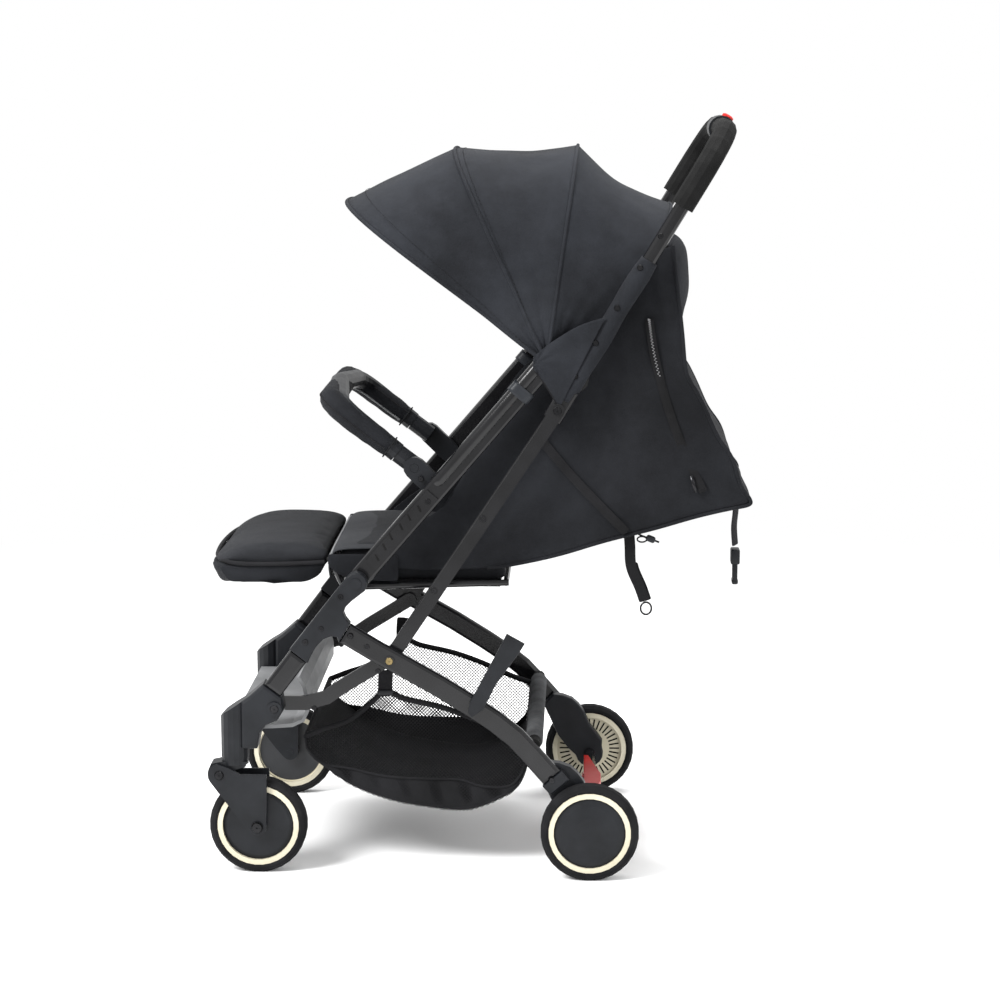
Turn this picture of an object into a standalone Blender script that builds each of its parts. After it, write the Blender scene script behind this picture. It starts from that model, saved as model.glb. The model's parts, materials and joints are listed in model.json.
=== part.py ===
"""Compact folding stroller, every piece a closed solid, in metres with +Z up.

The front faces -X, the near (left) side is -Y, and the origin lies on the floor at the middle of the
bounding box. Side-view places are (x, z) pairs, and lateral places are distances from the middle plane.
"""

import math

import bmesh
import bpy
from mathutils import Matrix, Vector

SIDES = (("left", -1), ("right", 1))
GAP = 0.0003
PIN_PLAY = 0.0003
WELD = 0.00001
SMALL_SIDES = 12
ROUND_SIDES = 32
TUBE_RESOLUTION = 4

# wheels
WHEEL_RADIUS = 0.0675
TYRE_WIDTH = 0.026
TYRE_THICKNESS = 0.0105
RIM_BAND = 0.007
RIM_WEB = 0.010
RIM_BOSS_RADIUS = 0.013
CAP_BULGE = 0.007
AXLE_RADIUS = 0.005
REAR_AXLE_X = 0.1565
FRONT_AXLE_X = -0.304
REAR_WHEEL_Y = 0.2275
FRONT_WHEEL_Y = 0.2015

# four-bar fold linkage, side view
FRAME_PIVOT = (-0.164, 0.412)
HANDLE_PIVOT = (0.095, 0.713)
LINK_PIVOT = (0.110, 0.649)
STRUT_PIVOT = (-0.119, 0.305)
PIVOT_PIN_RADIUS = 0.005
RIVET_RADIUS = 0.004
RIVET_HEAD_RADIUS = 0.0075
RIVET_HEAD_HEIGHT = 0.0015

# lateral layers, inner and outer distance from the middle plane
TUBE_LAYER = (0.1855, 0.2022)
STRUT_LAYER = (0.2030, 0.2085)
LEG_LAYER = (0.2090, 0.2230)
FRONT_LEG_LAYER = (0.2040, 0.2200)
BRACKET_LAYER = (0.2030, 0.2230)
BRACE_LAYER = (0.1965, 0.2025)
HOUSING_LAYER = (0.1900, 0.2087)
HUB_PLATE_LAYER = (0.1775, 0.1840)
CASTER_ARM_LAYER = (0.1818, 0.2200)
PANEL_HALF_WIDTH = CASTER_ARM_LAYER[0] - GAP

# frame members
MAIN_TUBE_WIDTH = 0.029
LEG_WIDTH = 0.030
FRONT_LEG_WIDTH = 0.028
BRACKET_WIDTH = 0.031
STRUT_WIDTH = 0.020
BRACE_WIDTH = 0.020
EDGE_ROUND = 0.004
FRONT_LEG_BOTTOM = (-0.281, 0.261)
FRONT_LEG_TOP = (-0.244, 0.310)
REAR_LEG_LINE = (
    (-0.180, 0.343), (-0.137, 0.317), (-0.106, 0.300), (-0.051, 0.269), (-0.006, 0.241),
    (0.024, 0.221), (0.053, 0.198), (0.077, 0.172), (0.104, 0.141),
)
BRACE_LINE = ((-0.266, 0.240), (-0.236, 0.240), (-0.208, 0.248), (-0.182, 0.266), STRUT_PIVOT)
BRACKET_FRONT = (
    (-0.2233, 0.3175), (-0.2177, 0.3260), (-0.2093, 0.3345), (-0.1983, 0.3388), (-0.1905, 0.3374),
)
BRACKET_REAR = ((-0.1788, 0.3641), (-0.1815, 0.3711), (-0.1786, 0.3795), (-0.1703, 0.3879))
REAR_CROSSBAR = (0.079, 0.184)
REAR_CROSSBAR_RADIUS = 0.0093
AXLE_TUBE_RADIUS = 0.009
SPACER_ROOT = 0.2000
HOUSING_FRONT = ((0.0860, 0.1440), (0.0945, 0.1260), (0.1081, 0.0959), (0.1230, 0.0765), (0.1340, 0.0660))
HOUSING_FOOT_RADIUS = 0.0210
HOUSING_REAR = (
    (0.1760, 0.0870), (0.1695, 0.0965), (0.1571, 0.1121), (0.1480, 0.1330), (0.1400, 0.1440),
    (0.1300, 0.1530), (0.1150, 0.1585), (0.1010, 0.1600),
)
COLLAR_LAYER = (0.1950, 0.2240)
COLLAR_WIDTH = 0.034
COLLAR_LENGTH = 0.017
GUIDE_SPAN = (0.030, 0.160)
GUIDE_WIDTH = 0.020
GUIDE_HEIGHT = 0.004
HOOK_THICKNESS = 0.008
HOOK_OUTLINE = (
    (-0.0062, 0.2284), (0.0103, 0.2398), (0.0268, 0.2738), (0.0597, 0.3203), (0.0665, 0.3315),
    (0.0419, 0.3453), (0.0364, 0.3341), (-0.0089, 0.2481), (-0.0110, 0.2350),
)
FOOTREST_LINE = (
    (-0.346, 0.200), (-0.320, 0.200), (-0.285, 0.201), (-0.258, 0.203), (-0.243, 0.210),
    (-0.237, 0.223), (-0.237, 0.241), (-0.241, 0.258), (-0.249, 0.272),
)
FOOTREST_THICKNESS = 0.005

# brake
PEDAL_THICKNESS = 0.006
PEDAL_FRONT = -0.0085
PEDAL_REAR = ((-0.002, 0.122), (0.009, 0.060), (0.0165, 0.020))
PEDAL_RING_RADIUS = 0.0120
PEDAL_RING_SPAN = (0.045, 0.060)

# front casters
CASTER_X = -0.3355
CASTER_RADIUS = 0.0195
CASTER_BOTTOM = 0.1645
CASTER_HEIGHT = 0.085
CASTER_SLOPE = (
    (-0.3620, 0.2060), (-0.3545, 0.2225), (-0.3480, 0.2290), (-0.3400, 0.2342), (-0.3239, 0.2450),
    (-0.3141, 0.2520),
)
CASTER_STEM_RADIUS = 0.005
CASTER_STEM_LENGTH = 0.036
CASTER_ARM_REACH = 0.011
CASTER_ARM_UNDERSIDE = ((-0.303, 0.1785), (-0.299, 0.200), (-0.291, 0.211), (-0.275, 0.218), (-0.266, 0.233))
CASTER_ARM_SHOULDER = ((-0.3141, 0.2520), (-0.3245, 0.2446))
CASTER_BOLT = (-0.278, 0.236)
CASTER_BOLT_RADIUS = 0.010
CASTER_BOLT_HEIGHT = 0.003
SWING_PIVOT = (-0.356, 0.141)
SWING_BOSS_RADIUS = 0.017
YOKE_REAR = ((-0.3180, 0.1592), (-0.3200, 0.1517), (-0.3390, 0.1465))
YOKE_FRONT = ((-0.3680, 0.1560), (-0.3530, 0.1592))
YOKE_HALF_WIDTH = 0.0140
FORK_PLATE = 0.0048
FORK_CLEARANCE = 0.0006
FORK_SWING_RADIUS = 0.016
FORK_AXLE_RADIUS = 0.0125
FORK_FRONT = ((-0.344, 0.0980), (-0.3260, 0.0740))
FORK_REAR = ((-0.2905, 0.1000), (-0.2905, 0.1420), (-0.3270, 0.1420), (-0.3400, 0.1500))

# seat
SEAT_HALF_WIDTH = 0.158
RAIL_RADIUS = 0.0045
LEG_REST_PIVOT = (-0.205, 0.436)
SEAT_ROD = (-0.186, 0.396)
SEAT_REAR = (0.043, 0.404)
BOARD_BOTTOM = 0.397
BOARD_THICKNESS = 0.006
SEAT_PAD_FRONT = -0.1965
SEAT_PAD_REAR = 0.040
SEAT_PAD_HEIGHT = 0.046
BACKREST_PIVOT = (0.056, 0.440)
BACKREST_ANGLE = 70.0
BACKREST_LENGTH = 0.400
BACKREST_THICKNESS = 0.020
SHELL_HALF_WIDTH = 0.166
SHELL_WALL = 0.003
SHELL_BACK = (
    (0.0660, 0.4200), (0.1160, 0.4420), (0.1770, 0.4620), (0.2430, 0.4800), (0.3250, 0.5020),
    (0.3720, 0.5060), (0.3780, 0.5200), (0.3650, 0.5380), (0.3500, 0.5810), (0.3300, 0.6070),
    (0.3140, 0.6420), (0.3000, 0.6700), (0.2830, 0.6920), (0.2800, 0.7550), (0.2700, 0.8600),
)
SHELL_FRONT = ((0.2220, 0.8450), (0.1500, 0.6900), (0.0760, 0.4700))
SHELL_MOUTH = ((0.2000, 0.8900), (0.1000, 0.7000), (0.0300, 0.4600))
BACKREST_HALF_WIDTH = SHELL_HALF_WIDTH - SHELL_WALL - GAP
LEG_REST_HALF_WIDTH = 0.156
LEG_REST_SIDE = (
    (-0.2200, 0.4490), (-0.2650, 0.4510), (-0.3100, 0.4500), (-0.3400, 0.4450), (-0.3600, 0.4380),
    (-0.3740, 0.4290), (-0.3780, 0.4190), (-0.3720, 0.4080), (-0.3560, 0.4015), (-0.3300, 0.3995),
    (-0.2700, 0.4005), (-0.2330, 0.4090),
)
LEG_REST_HINGE_EDGE = (0.4300, 0.4470)

# canopy arches about the handle pivot: angle in degrees, reach in metres
CANOPY_HALF_WIDTH = 0.174
CANOPY_CLOTH = 0.003
CANOPY_BOWS = {"front": (143.5, 0.350), "mid": (115.0, 0.310), "rear": (82.0, 0.286)}
CANOPY_REAR_EDGE = (50.0, 0.266)
CANOPY_SECTIONS = 3
CANOPY_SEAM_ANGLE = 0.25
CANOPY_ROOT = 0.030
CANOPY_SHOULDER_SHARE = 0.45
ARCH_STEPS = 14
BOW_ROOT = 0.010
BOW_RADIUS = 0.003
BOW_DISC_RADIUS = 0.019
BOW_STACK_STEP = 2 * BOW_RADIUS + 0.0006

# handle
HANDLE_ANGLE = 58.9
HANDLE_LENGTH = 0.436
HANDLE_TUBE_RADIUS = 0.0100
HANDLE_TUBE_Y = 0.1922
HANDLE_BEND = 0.075
HUB_PLATE_WIDTH = 0.036
HUB_PLATE_FOOT = 0.047
CLAMP_SPAN = (-0.016, 0.034)
CLAMP_WIDTH = 0.026
CLAMP_LAYER = (0.1825, 0.2026)
GRIP_RADIUS = 0.0158
GRIP_STRAIGHT = 0.041
GRIP_START = HANDLE_LENGTH - HANDLE_BEND - GRIP_STRAIGHT
GRIP_PLAY = 0.0006
HANDLE_CENTRE_HALF = 0.030
HANDLE_CENTRE_RADIUS = 0.0185
BUTTON_RADIUS = 0.0085
BUTTON_FLOOR = 0.0125
BUTTON_TRAVEL = 0.0037
BUTTON_HEIGHT = 0.006

# belly bar
BELLY_SOCKET = (-0.086, 0.566)
BELLY_ANGLE = 143.0
BELLY_FRONT = (-0.200, 0.660)
BELLY_INSET = 0.0232
BELLY_HALF_WIDTH = TUBE_LAYER[0] - BELLY_INSET
BELLY_CORNER = 0.040
BELLY_RADIUS = 0.0140
BELLY_STUB_RADIUS = 0.0080
BELLY_STUB_SPAN = (0.0060, 0.0400)
BELLY_SLEEVE_RADIUS = 0.0130
BELLY_SLEEVE_END = 0.0300
BELLY_LUG_FOOT = 0.165
BELLY_LUG_WIDTH = 0.030
BELLY_LUG_LAYER = (BELLY_HALF_WIDTH + 0.0060, TUBE_LAYER[0] - 0.0039)
BELLY_BUTTON_RADIUS = 0.006
BELLY_BUTTON_TRAVEL = 0.002
BELLY_BUTTON_FLOOR = BELLY_LUG_LAYER[0] + 0.0055

# basket
BASKET_HALF_WIDTH = 0.172
BASKET_WALL = 0.003
BASKET_LOWER = (
    (-0.2400, 0.1850), (-0.2390, 0.1640), (-0.2250, 0.1470), (-0.1795, 0.1140), (-0.1263, 0.0925),
    (-0.0674, 0.0815), (-0.0141, 0.0780), (0.0308, 0.0945), (0.0560, 0.1130),
)
BASKET_REAR_EDGE = (0.1450, 0.1860)
BASKET_UPPER = (
    (0.0378, 0.1930), (-0.0096, 0.2140), (-0.0528, 0.2290), (-0.1016, 0.2400), (-0.1280, 0.2510),
    (-0.1480, 0.2350), (-0.1786, 0.2100), (-0.2137, 0.1965),
)
BASKET_CUT_TOP = 0.2800


def clear_scene():
    for old in list(bpy.data.objects):
        bpy.data.objects.remove(old, do_unlink=True)
    for old in list(bpy.data.collections):
        bpy.data.collections.remove(old)


clear_scene()
STROLLER = bpy.data.collections.new("compact_stroller")
bpy.context.scene.collection.children.link(STROLLER)


def paint(name, color, roughness, metallic=0.0):
    made = bpy.data.materials.new(name)
    made.use_nodes = True
    shader = made.node_tree.nodes["Principled BSDF"]
    shader.inputs["Base Color"].default_value = (*color, 1.0)
    shader.inputs["Roughness"].default_value = roughness
    shader.inputs["Metallic"].default_value = metallic
    return made


BLACK_TUBE = paint("satin_black_tube", (0.012, 0.012, 0.014), 0.30, 0.6)
DARK_PLASTIC = paint("dark_plastic", (0.035, 0.037, 0.042), 0.45)
FOAM = paint("black_foam", (0.012, 0.012, 0.012), 0.9)
TYRE = paint("tyre_rubber", (0.014, 0.014, 0.015), 0.8)
IVORY = paint("ivory_plastic", (0.62, 0.58, 0.47), 0.4)
CHARCOAL = paint("charcoal_fabric", (0.022, 0.024, 0.030), 0.95)
GREY_PLASTIC = paint("grey_plastic", (0.30, 0.31, 0.32), 0.5)
RED = paint("red_plastic", (0.55, 0.02, 0.015), 0.35)
MESH = paint("black_mesh", (0.02, 0.02, 0.022), 0.9)


def node(obj, name, look):
    """Names an object, gives it its material and places it in the stroller's collection."""
    obj.name = name
    obj.data.name = name
    obj.data.materials.clear()
    obj.data.materials.append(look)
    STROLLER.objects.link(obj)
    return obj


def evaluated_mesh(obj):
    """Turns a curve, or an object with modifiers, into a welded plain mesh object."""
    bpy.context.scene.collection.objects.link(obj)
    bpy.context.view_layer.update()
    graph = bpy.context.evaluated_depsgraph_get()
    mesh = bpy.data.meshes.new_from_object(obj.evaluated_get(graph))
    mesh.transform(obj.matrix_world)
    bpy.data.objects.remove(obj)
    work = bmesh.new()
    work.from_mesh(mesh)
    bmesh.ops.remove_doubles(work, verts=work.verts, dist=WELD)
    bmesh.ops.dissolve_degenerate(work, edges=work.edges, dist=WELD)
    bmesh.ops.recalc_face_normals(work, faces=work.faces)
    work.to_mesh(mesh)
    work.free()
    return bpy.data.objects.new("solid", mesh)


def combine(base, others, operation):
    """Joins solids to a base, or cuts them out of it, and returns the plain result."""
    for other in others:
        bpy.context.scene.collection.objects.link(other)
        step = base.modifiers.new(operation.lower(), "BOOLEAN")
        step.operation = operation
        step.object = other
    made = evaluated_mesh(base)
    for other in others:
        bpy.data.objects.remove(other)
    return made


def shade(obj, angle=35.0):
    obj.data.shade_smooth()
    obj.data.set_sharp_from_angle(angle=math.radians(angle))
    return obj


def lateral(layer, side):
    """The two y values of a layer on one side, lower one first."""
    values = sorted((side * layer[0], side * layer[1]))
    return values[0], values[1]


def plate(outline, y_range, edge=0.0, holes=()):
    """A flat piece in the side view: an outline of (x, z) points between two y values."""
    low, high = y_range
    data = bpy.data.curves.new("plate", "CURVE")
    data.dimensions = "2D"
    data.fill_mode = "BOTH"
    data.extrude = (high - low) / 2 - edge
    data.bevel_depth = edge
    data.bevel_resolution = 1
    data.offset = -edge
    for loop in (outline, *holes):
        spline = data.splines.new("POLY")
        spline.points.add(len(loop) - 1)
        spline.use_cyclic_u = True
        for point, (x, z) in zip(spline.points, loop):
            point.co = (x, z, 0, 1)
    obj = bpy.data.objects.new("plate", data)
    obj.rotation_euler = (math.pi / 2, 0, 0)
    obj.location = (0, (low + high) / 2, 0)
    return evaluated_mesh(obj)


def circle(centre, radius, sides=SMALL_SIDES):
    return [
        (
            centre[0] + radius * math.cos(2 * math.pi * k / sides),
            centre[1] + radius * math.sin(2 * math.pi * k / sides),
        )
        for k in range(sides)
    ]


def arc(centre, radius, start, end, count):
    """Points of an arc in the side view, angles in degrees from +X towards +Z."""
    points = []
    for k in range(count + 1):
        angle = math.radians(start + (end - start) * k / count)
        points.append((centre[0] + radius * math.cos(angle), centre[1] + radius * math.sin(angle)))
    return points


def heading(start, end):
    """Angle in degrees of the way from one side-view point to another."""
    return math.degrees(math.atan2(end[1] - start[1], end[0] - start[0]))


def step_from(point, angle, distance, across=0.0):
    """A side-view point moved along a heading, and to its left by `across`."""
    turn = math.radians(angle)
    return (
        point[0] + distance * math.cos(turn) - across * math.sin(turn),
        point[1] + distance * math.sin(turn) + across * math.cos(turn),
    )


def ribbon(line, width, round_start=False, round_end=False):
    """The outline of a bar of constant width along a line of side-view points."""
    left = []
    right = []
    for k, point in enumerate(line):
        before = line[max(k - 1, 0)]
        after = line[min(k + 1, len(line) - 1)]
        angle = heading(before, after)
        left.append(step_from(point, angle, 0, width / 2))
        right.append(step_from(point, angle, 0, -width / 2))
    first = heading(line[0], line[1])
    last = heading(line[-2], line[-1])
    outline = list(right)
    if round_end:
        outline.extend(arc(line[-1], width / 2, last - 90, last + 90, 6)[1:-1])
    outline.extend(reversed(left))
    if round_start:
        outline.extend(arc(line[0], width / 2, first + 90, first + 270, 6)[1:-1])
    return outline


def pin(centre, radius, y_range, sides=SMALL_SIDES):
    """A straight round piece along Y."""
    low, high = y_range
    work = bmesh.new()
    bmesh.ops.create_cone(
        work, cap_ends=True, segments=sides, radius1=radius, radius2=radius, depth=high - low
    )
    mesh = bpy.data.meshes.new("pin")
    work.to_mesh(mesh)
    work.free()
    obj = bpy.data.objects.new("pin", mesh)
    obj.rotation_euler = (-math.pi / 2, 0, 0)
    obj.location = (centre[0], (low + high) / 2, centre[1])
    return evaluated_mesh(obj)


def box(low, high):
    """A box between two corners."""
    work = bmesh.new()
    bmesh.ops.create_cube(work, size=1.0)
    size = [b - a for a, b in zip(low, high)]
    middle = [(a + b) / 2 for a, b in zip(low, high)]
    bmesh.ops.scale(work, vec=size, verts=work.verts)
    bmesh.ops.translate(work, vec=middle, verts=work.verts)
    mesh = bpy.data.meshes.new("box")
    work.to_mesh(mesh)
    work.free()
    return bpy.data.objects.new("box", mesh)


def turned(profile, closed, sides, spin=0.0):
    """A turned solid about local Z from (radius, height) points that run down its outer side."""
    mesh = bpy.data.meshes.new("turned")
    points = []
    for radius, height in profile:
        points.append((radius * math.cos(spin), radius * math.sin(spin), height))
    edges = [(k, k + 1) for k in range(len(points) - 1)]
    if closed:
        edges.append((len(points) - 1, 0))
    mesh.from_pydata(points, edges, [])
    obj = bpy.data.objects.new("turned", mesh)
    screw = obj.modifiers.new("turn", "SCREW")
    screw.steps = sides
    screw.render_steps = sides
    screw.use_merge_vertices = True
    screw.merge_threshold = WELD
    return obj


def wire(points, radius, resolution=TUBE_RESOLUTION):
    """A tube of one radius along 3-D points, with closed ends, as a welded mesh."""
    data = bpy.data.curves.new("wire", "CURVE")
    data.dimensions = "3D"
    data.bevel_depth = radius
    data.bevel_resolution = resolution
    data.use_fill_caps = True
    spline = data.splines.new("POLY")
    spline.points.add(len(points) - 1)
    for point, place in zip(spline.points, points):
        point.co = (*place, 1)
    return evaluated_mesh(bpy.data.objects.new("wire", data))


def rounded(points, radius, count=5):
    """3-D points with every inner corner replaced by an arc of a given radius."""
    made = [Vector(points[0])]
    for before, corner, after in zip(points, points[1:], points[2:]):
        corner = Vector(corner)
        back = (Vector(before) - corner).normalized()
        ahead = (Vector(after) - corner).normalized()
        half = back.angle(ahead) / 2
        reach = radius / math.tan(half)
        centre = corner + (back + ahead).normalized() * (radius / math.sin(half))
        start = corner + back * reach - centre
        end = corner + ahead * reach - centre
        sweep = start.angle(end)
        for k in range(count + 1):
            share = k / count
            first = math.sin((1 - share) * sweep) / math.sin(sweep)
            second = math.sin(share * sweep) / math.sin(sweep)
            made.append(centre + start * first + end * second)
    made.append(Vector(points[-1]))
    return made


def grid_solid(rows, thickness):
    """A cloth-like solid: a sheet through rows of 3-D points, thickened about its middle."""
    mesh = bpy.data.meshes.new("sheet")
    count = len(rows[0])
    points = [tuple(point) for row in rows for point in row]
    faces = []
    for r in range(len(rows) - 1):
        for c in range(count - 1):
            start = r * count + c
            faces.append((start, start + 1, start + count + 1, start + count))
    mesh.from_pydata(points, [], faces)
    obj = bpy.data.objects.new("sheet", mesh)
    wall = obj.modifiers.new("wall", "SOLIDIFY")
    wall.thickness = thickness
    wall.offset = 0.0
    wall.use_even_offset = False
    return evaluated_mesh(obj)


def cushion(low, high, crown, cuts, edge):
    """A padded block: a coarse cage whose top swells by `crown`, then subdivided."""
    work = bmesh.new()
    bmesh.ops.create_grid(work, x_segments=cuts[0], y_segments=cuts[1], size=0.5)
    bmesh.ops.solidify(work, geom=work.faces[:], thickness=1.0)
    base = min(vert.co.z for vert in work.verts)
    for vert in work.verts:
        u = vert.co.x * 2
        v = vert.co.y * 2
        top = vert.co.z - base > 0.5
        x = low[0] + (high[0] - low[0]) * (vert.co.x + 0.5)
        y = low[1] + (high[1] - low[1]) * (vert.co.y + 0.5)
        z = low[2]
        if top:
            rise = crown * (1 - min(1.0, u * u * u * u)) * (1 - min(1.0, v * v * v * v))
            z = high[2] - crown + rise
        vert.co = (x, y, z)
    mesh = bpy.data.meshes.new("cushion")
    work.to_mesh(mesh)
    work.free()
    obj = bpy.data.objects.new("cushion", mesh)
    soften = obj.modifiers.new("soften", "BEVEL")
    soften.width = edge
    soften.segments = 2
    soften.limit_method = "ANGLE"
    soften.angle_limit = math.radians(50)
    return evaluated_mesh(obj)


# Wheels


def tyre(name, centre_x, centre_y):
    """A tyre whose lowest facet lies flat on the floor."""
    half = TYRE_WIDTH / 2
    outer = WHEEL_RADIUS / math.cos(math.pi / ROUND_SIDES)
    inner = WHEEL_RADIUS - TYRE_THICKNESS
    shoulder = outer - 0.004
    profile = [
        (inner, half - 0.002), (inner + 0.003, half), (shoulder, half - 0.001), (outer, half - 0.006),
        (outer, -half + 0.006), (shoulder, -half + 0.001), (inner + 0.003, -half), (inner, -half + 0.002),
    ]
    obj = turned(profile, True, ROUND_SIDES, math.pi / ROUND_SIDES)
    obj.rotation_euler = (-math.pi / 2, 0, 0)
    obj.location = (centre_x, centre_y, WHEEL_RADIUS)
    return shade(node(obj, name, TYRE))


def rim(name, centre_x, centre_y):
    """An ivory ring with a web and a bored boss, inside the tyre."""
    half = TYRE_WIDTH / 2
    outer = WHEEL_RADIUS - TYRE_THICKNESS - GAP
    band = outer - RIM_BAND
    web = RIM_WEB / 2
    bore = AXLE_RADIUS + PIN_PLAY
    boss = RIM_BOSS_RADIUS
    profile = [
        (bore, half), (boss, half), (boss, web), (band, web), (band, half - 0.001),
        (outer, half - 0.002), (outer, -half + 0.002), (band, -half + 0.001), (band, -web),
        (boss, -web), (boss, -half), (bore, -half),
    ]
    obj = turned(profile, True, ROUND_SIDES, math.pi / ROUND_SIDES)
    obj.rotation_euler = (-math.pi / 2, 0, 0)
    obj.location = (centre_x, centre_y, WHEEL_RADIUS)
    return shade(node(obj, name, IVORY))


def cap(name, centre_x, centre_y, side, bored):
    """The dark cover in the outer face of a wheel, fixed to the rim."""
    start = RIM_WEB / 2 + GAP
    half = TYRE_WIDTH / 2
    outer = WHEEL_RADIUS - TYRE_THICKNESS - GAP - RIM_BAND - GAP
    hollow = RIM_BOSS_RADIUS + GAP
    if bored:
        profile = [
            (hollow, half - 0.003), (outer - 0.006, half - 0.004), (outer, half - 0.006),
            (outer, start), (hollow, start),
        ]
    else:
        crest = half + CAP_BULGE - 0.004
        profile = [
            (0, crest), (outer * 0.45, crest - 0.0008), (outer * 0.8, crest - 0.003),
            (outer, half - 0.004), (outer, start), (hollow, start), (hollow, half + GAP),
            (0, half + GAP),
        ]
    obj = turned(profile, bored, ROUND_SIDES, math.pi / ROUND_SIDES)
    obj.rotation_euler = (-side * math.pi / 2, 0, 0)
    obj.location = (centre_x, centre_y, WHEEL_RADIUS)
    return shade(node(obj, name, DARK_PLASTIC))


def wheels():
    for label, side in SIDES:
        for end, x, y, bored in (
            ("front", FRONT_AXLE_X, FRONT_WHEEL_Y, True),
            ("rear", REAR_AXLE_X, REAR_WHEEL_Y, False),
        ):
            tyre(f"{end}_tyre_{label}", x, side * y)
            rim(f"{end}_rim_{label}", x, side * y)
            cap(f"{end}_cap_{label}", x, side * y, side, bored)


# Front casters


def caster_housing(label, side):
    """The upright socket of a caster with its arm up to the front leg, as one moulding."""
    y = side * FRONT_WHEEL_Y
    top = CASTER_BOTTOM + CASTER_HEIGHT
    bore = CASTER_STEM_RADIUS + PIN_PLAY
    socket = turned(
        [
            (0, top), (CASTER_RADIUS - 0.004, top), (CASTER_RADIUS, top - 0.004),
            (CASTER_RADIUS, CASTER_BOTTOM), (bore, CASTER_BOTTOM),
            (bore, CASTER_BOTTOM + CASTER_STEM_LENGTH + GAP), (0, CASTER_BOTTOM + CASTER_STEM_LENGTH + GAP),
        ],
        False,
        SMALL_SIDES + 4,
    )
    socket.location = (CASTER_X, y, 0)
    above = top + 0.020
    slope = plate(
        [*CASTER_SLOPE, (CASTER_SLOPE[-1][0] + 0.020, above), (CASTER_SLOPE[0][0], above)],
        (y - 2 * CASTER_RADIUS, y + 2 * CASTER_RADIUS),
    )
    socket = combine(evaluated_mesh(socket), [slope], "DIFFERENCE")
    lean = heading(FRONT_LEG_BOTTOM, FRONT_LEG_TOP)
    left = step_from(FRONT_LEG_BOTTOM, lean, -GAP, BRACKET_WIDTH / 2)
    right = step_from(FRONT_LEG_BOTTOM, lean, -GAP, -BRACKET_WIDTH / 2)
    arm = plate(
        [
            (CASTER_X + CASTER_ARM_REACH, CASTER_ARM_UNDERSIDE[0][1]), *CASTER_ARM_UNDERSIDE, right, left,
            *CASTER_ARM_SHOULDER,
        ],
        lateral(CASTER_ARM_LAYER, side),
        EDGE_ROUND,
    )
    face = CASTER_ARM_LAYER[1]
    bolt = pin(CASTER_BOLT, CASTER_BOLT_RADIUS, lateral((face - 0.005, face + CASTER_BOLT_HEIGHT), side))
    made = combine(arm, [socket, bolt], "UNION")
    return shade(node(made, f"caster_housing_{label}", DARK_PLASTIC))


def caster_yoke(label, side):
    """The swivelling block under a caster housing, with its stem and the bore of the fork's pivot."""
    y = side * FRONT_WHEEL_Y
    top = CASTER_BOTTOM - GAP
    stem = turned(
        [
            (0, CASTER_BOTTOM + CASTER_STEM_LENGTH), (CASTER_STEM_RADIUS, CASTER_BOTTOM + CASTER_STEM_LENGTH),
            (CASTER_STEM_RADIUS, top), (CASTER_RADIUS - 0.001, top), (CASTER_RADIUS - 0.001, top - 0.010),
            (0, top - 0.010),
        ],
        False,
        SMALL_SIDES + 4,
    )
    stem.location = (CASTER_X, y, 0)
    stem = evaluated_mesh(stem)
    block = plate(
        [
            *YOKE_REAR, *arc(SWING_PIVOT, SWING_BOSS_RADIUS, -10, -200, 8), *YOKE_FRONT,
        ],
        (y - YOKE_HALF_WIDTH, y + YOKE_HALF_WIDTH),
    )
    bore = pin(SWING_PIVOT, AXLE_RADIUS + PIN_PLAY, (y - 0.03, y + 0.03))
    made = combine(combine(block, [stem], "UNION"), [bore], "DIFFERENCE")
    return shade(node(made, f"caster_yoke_{label}", DARK_PLASTIC))


def fork(label, side):
    """The sprung fork: two cheeks beside the wheel, joined by the pivot and axle pins."""
    y = side * FRONT_WHEEL_Y
    inner = YOKE_HALF_WIDTH + FORK_CLEARANCE
    outer = inner + FORK_PLATE
    axle = (FRONT_AXLE_X, WHEEL_RADIUS)
    outline = [
        *arc(SWING_PIVOT, FORK_SWING_RADIUS, 100, 215, 6), *FORK_FRONT,
        *arc(axle, FORK_AXLE_RADIUS, 215, 345, 5), *FORK_REAR,
    ]
    cheeks = [
        plate(outline, (y + inner, y + outer)),
        plate(outline, (y - outer, y - inner)),
    ]
    pins = [
        pin(SWING_PIVOT, AXLE_RADIUS, (y - outer - 0.001, y + outer + 0.001)),
        pin(axle, AXLE_RADIUS, (y - outer - 0.001, y + outer + 0.001)),
        pin(axle, 0.008, lateral((FRONT_WHEEL_Y + outer - 0.001, FRONT_WHEEL_Y + outer + 0.003), side)),
    ]
    made = combine(cheeks[0], [cheeks[1], *pins], "UNION")
    return shade(node(made, f"fork_{label}", DARK_PLASTIC))


# Chassis


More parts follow.
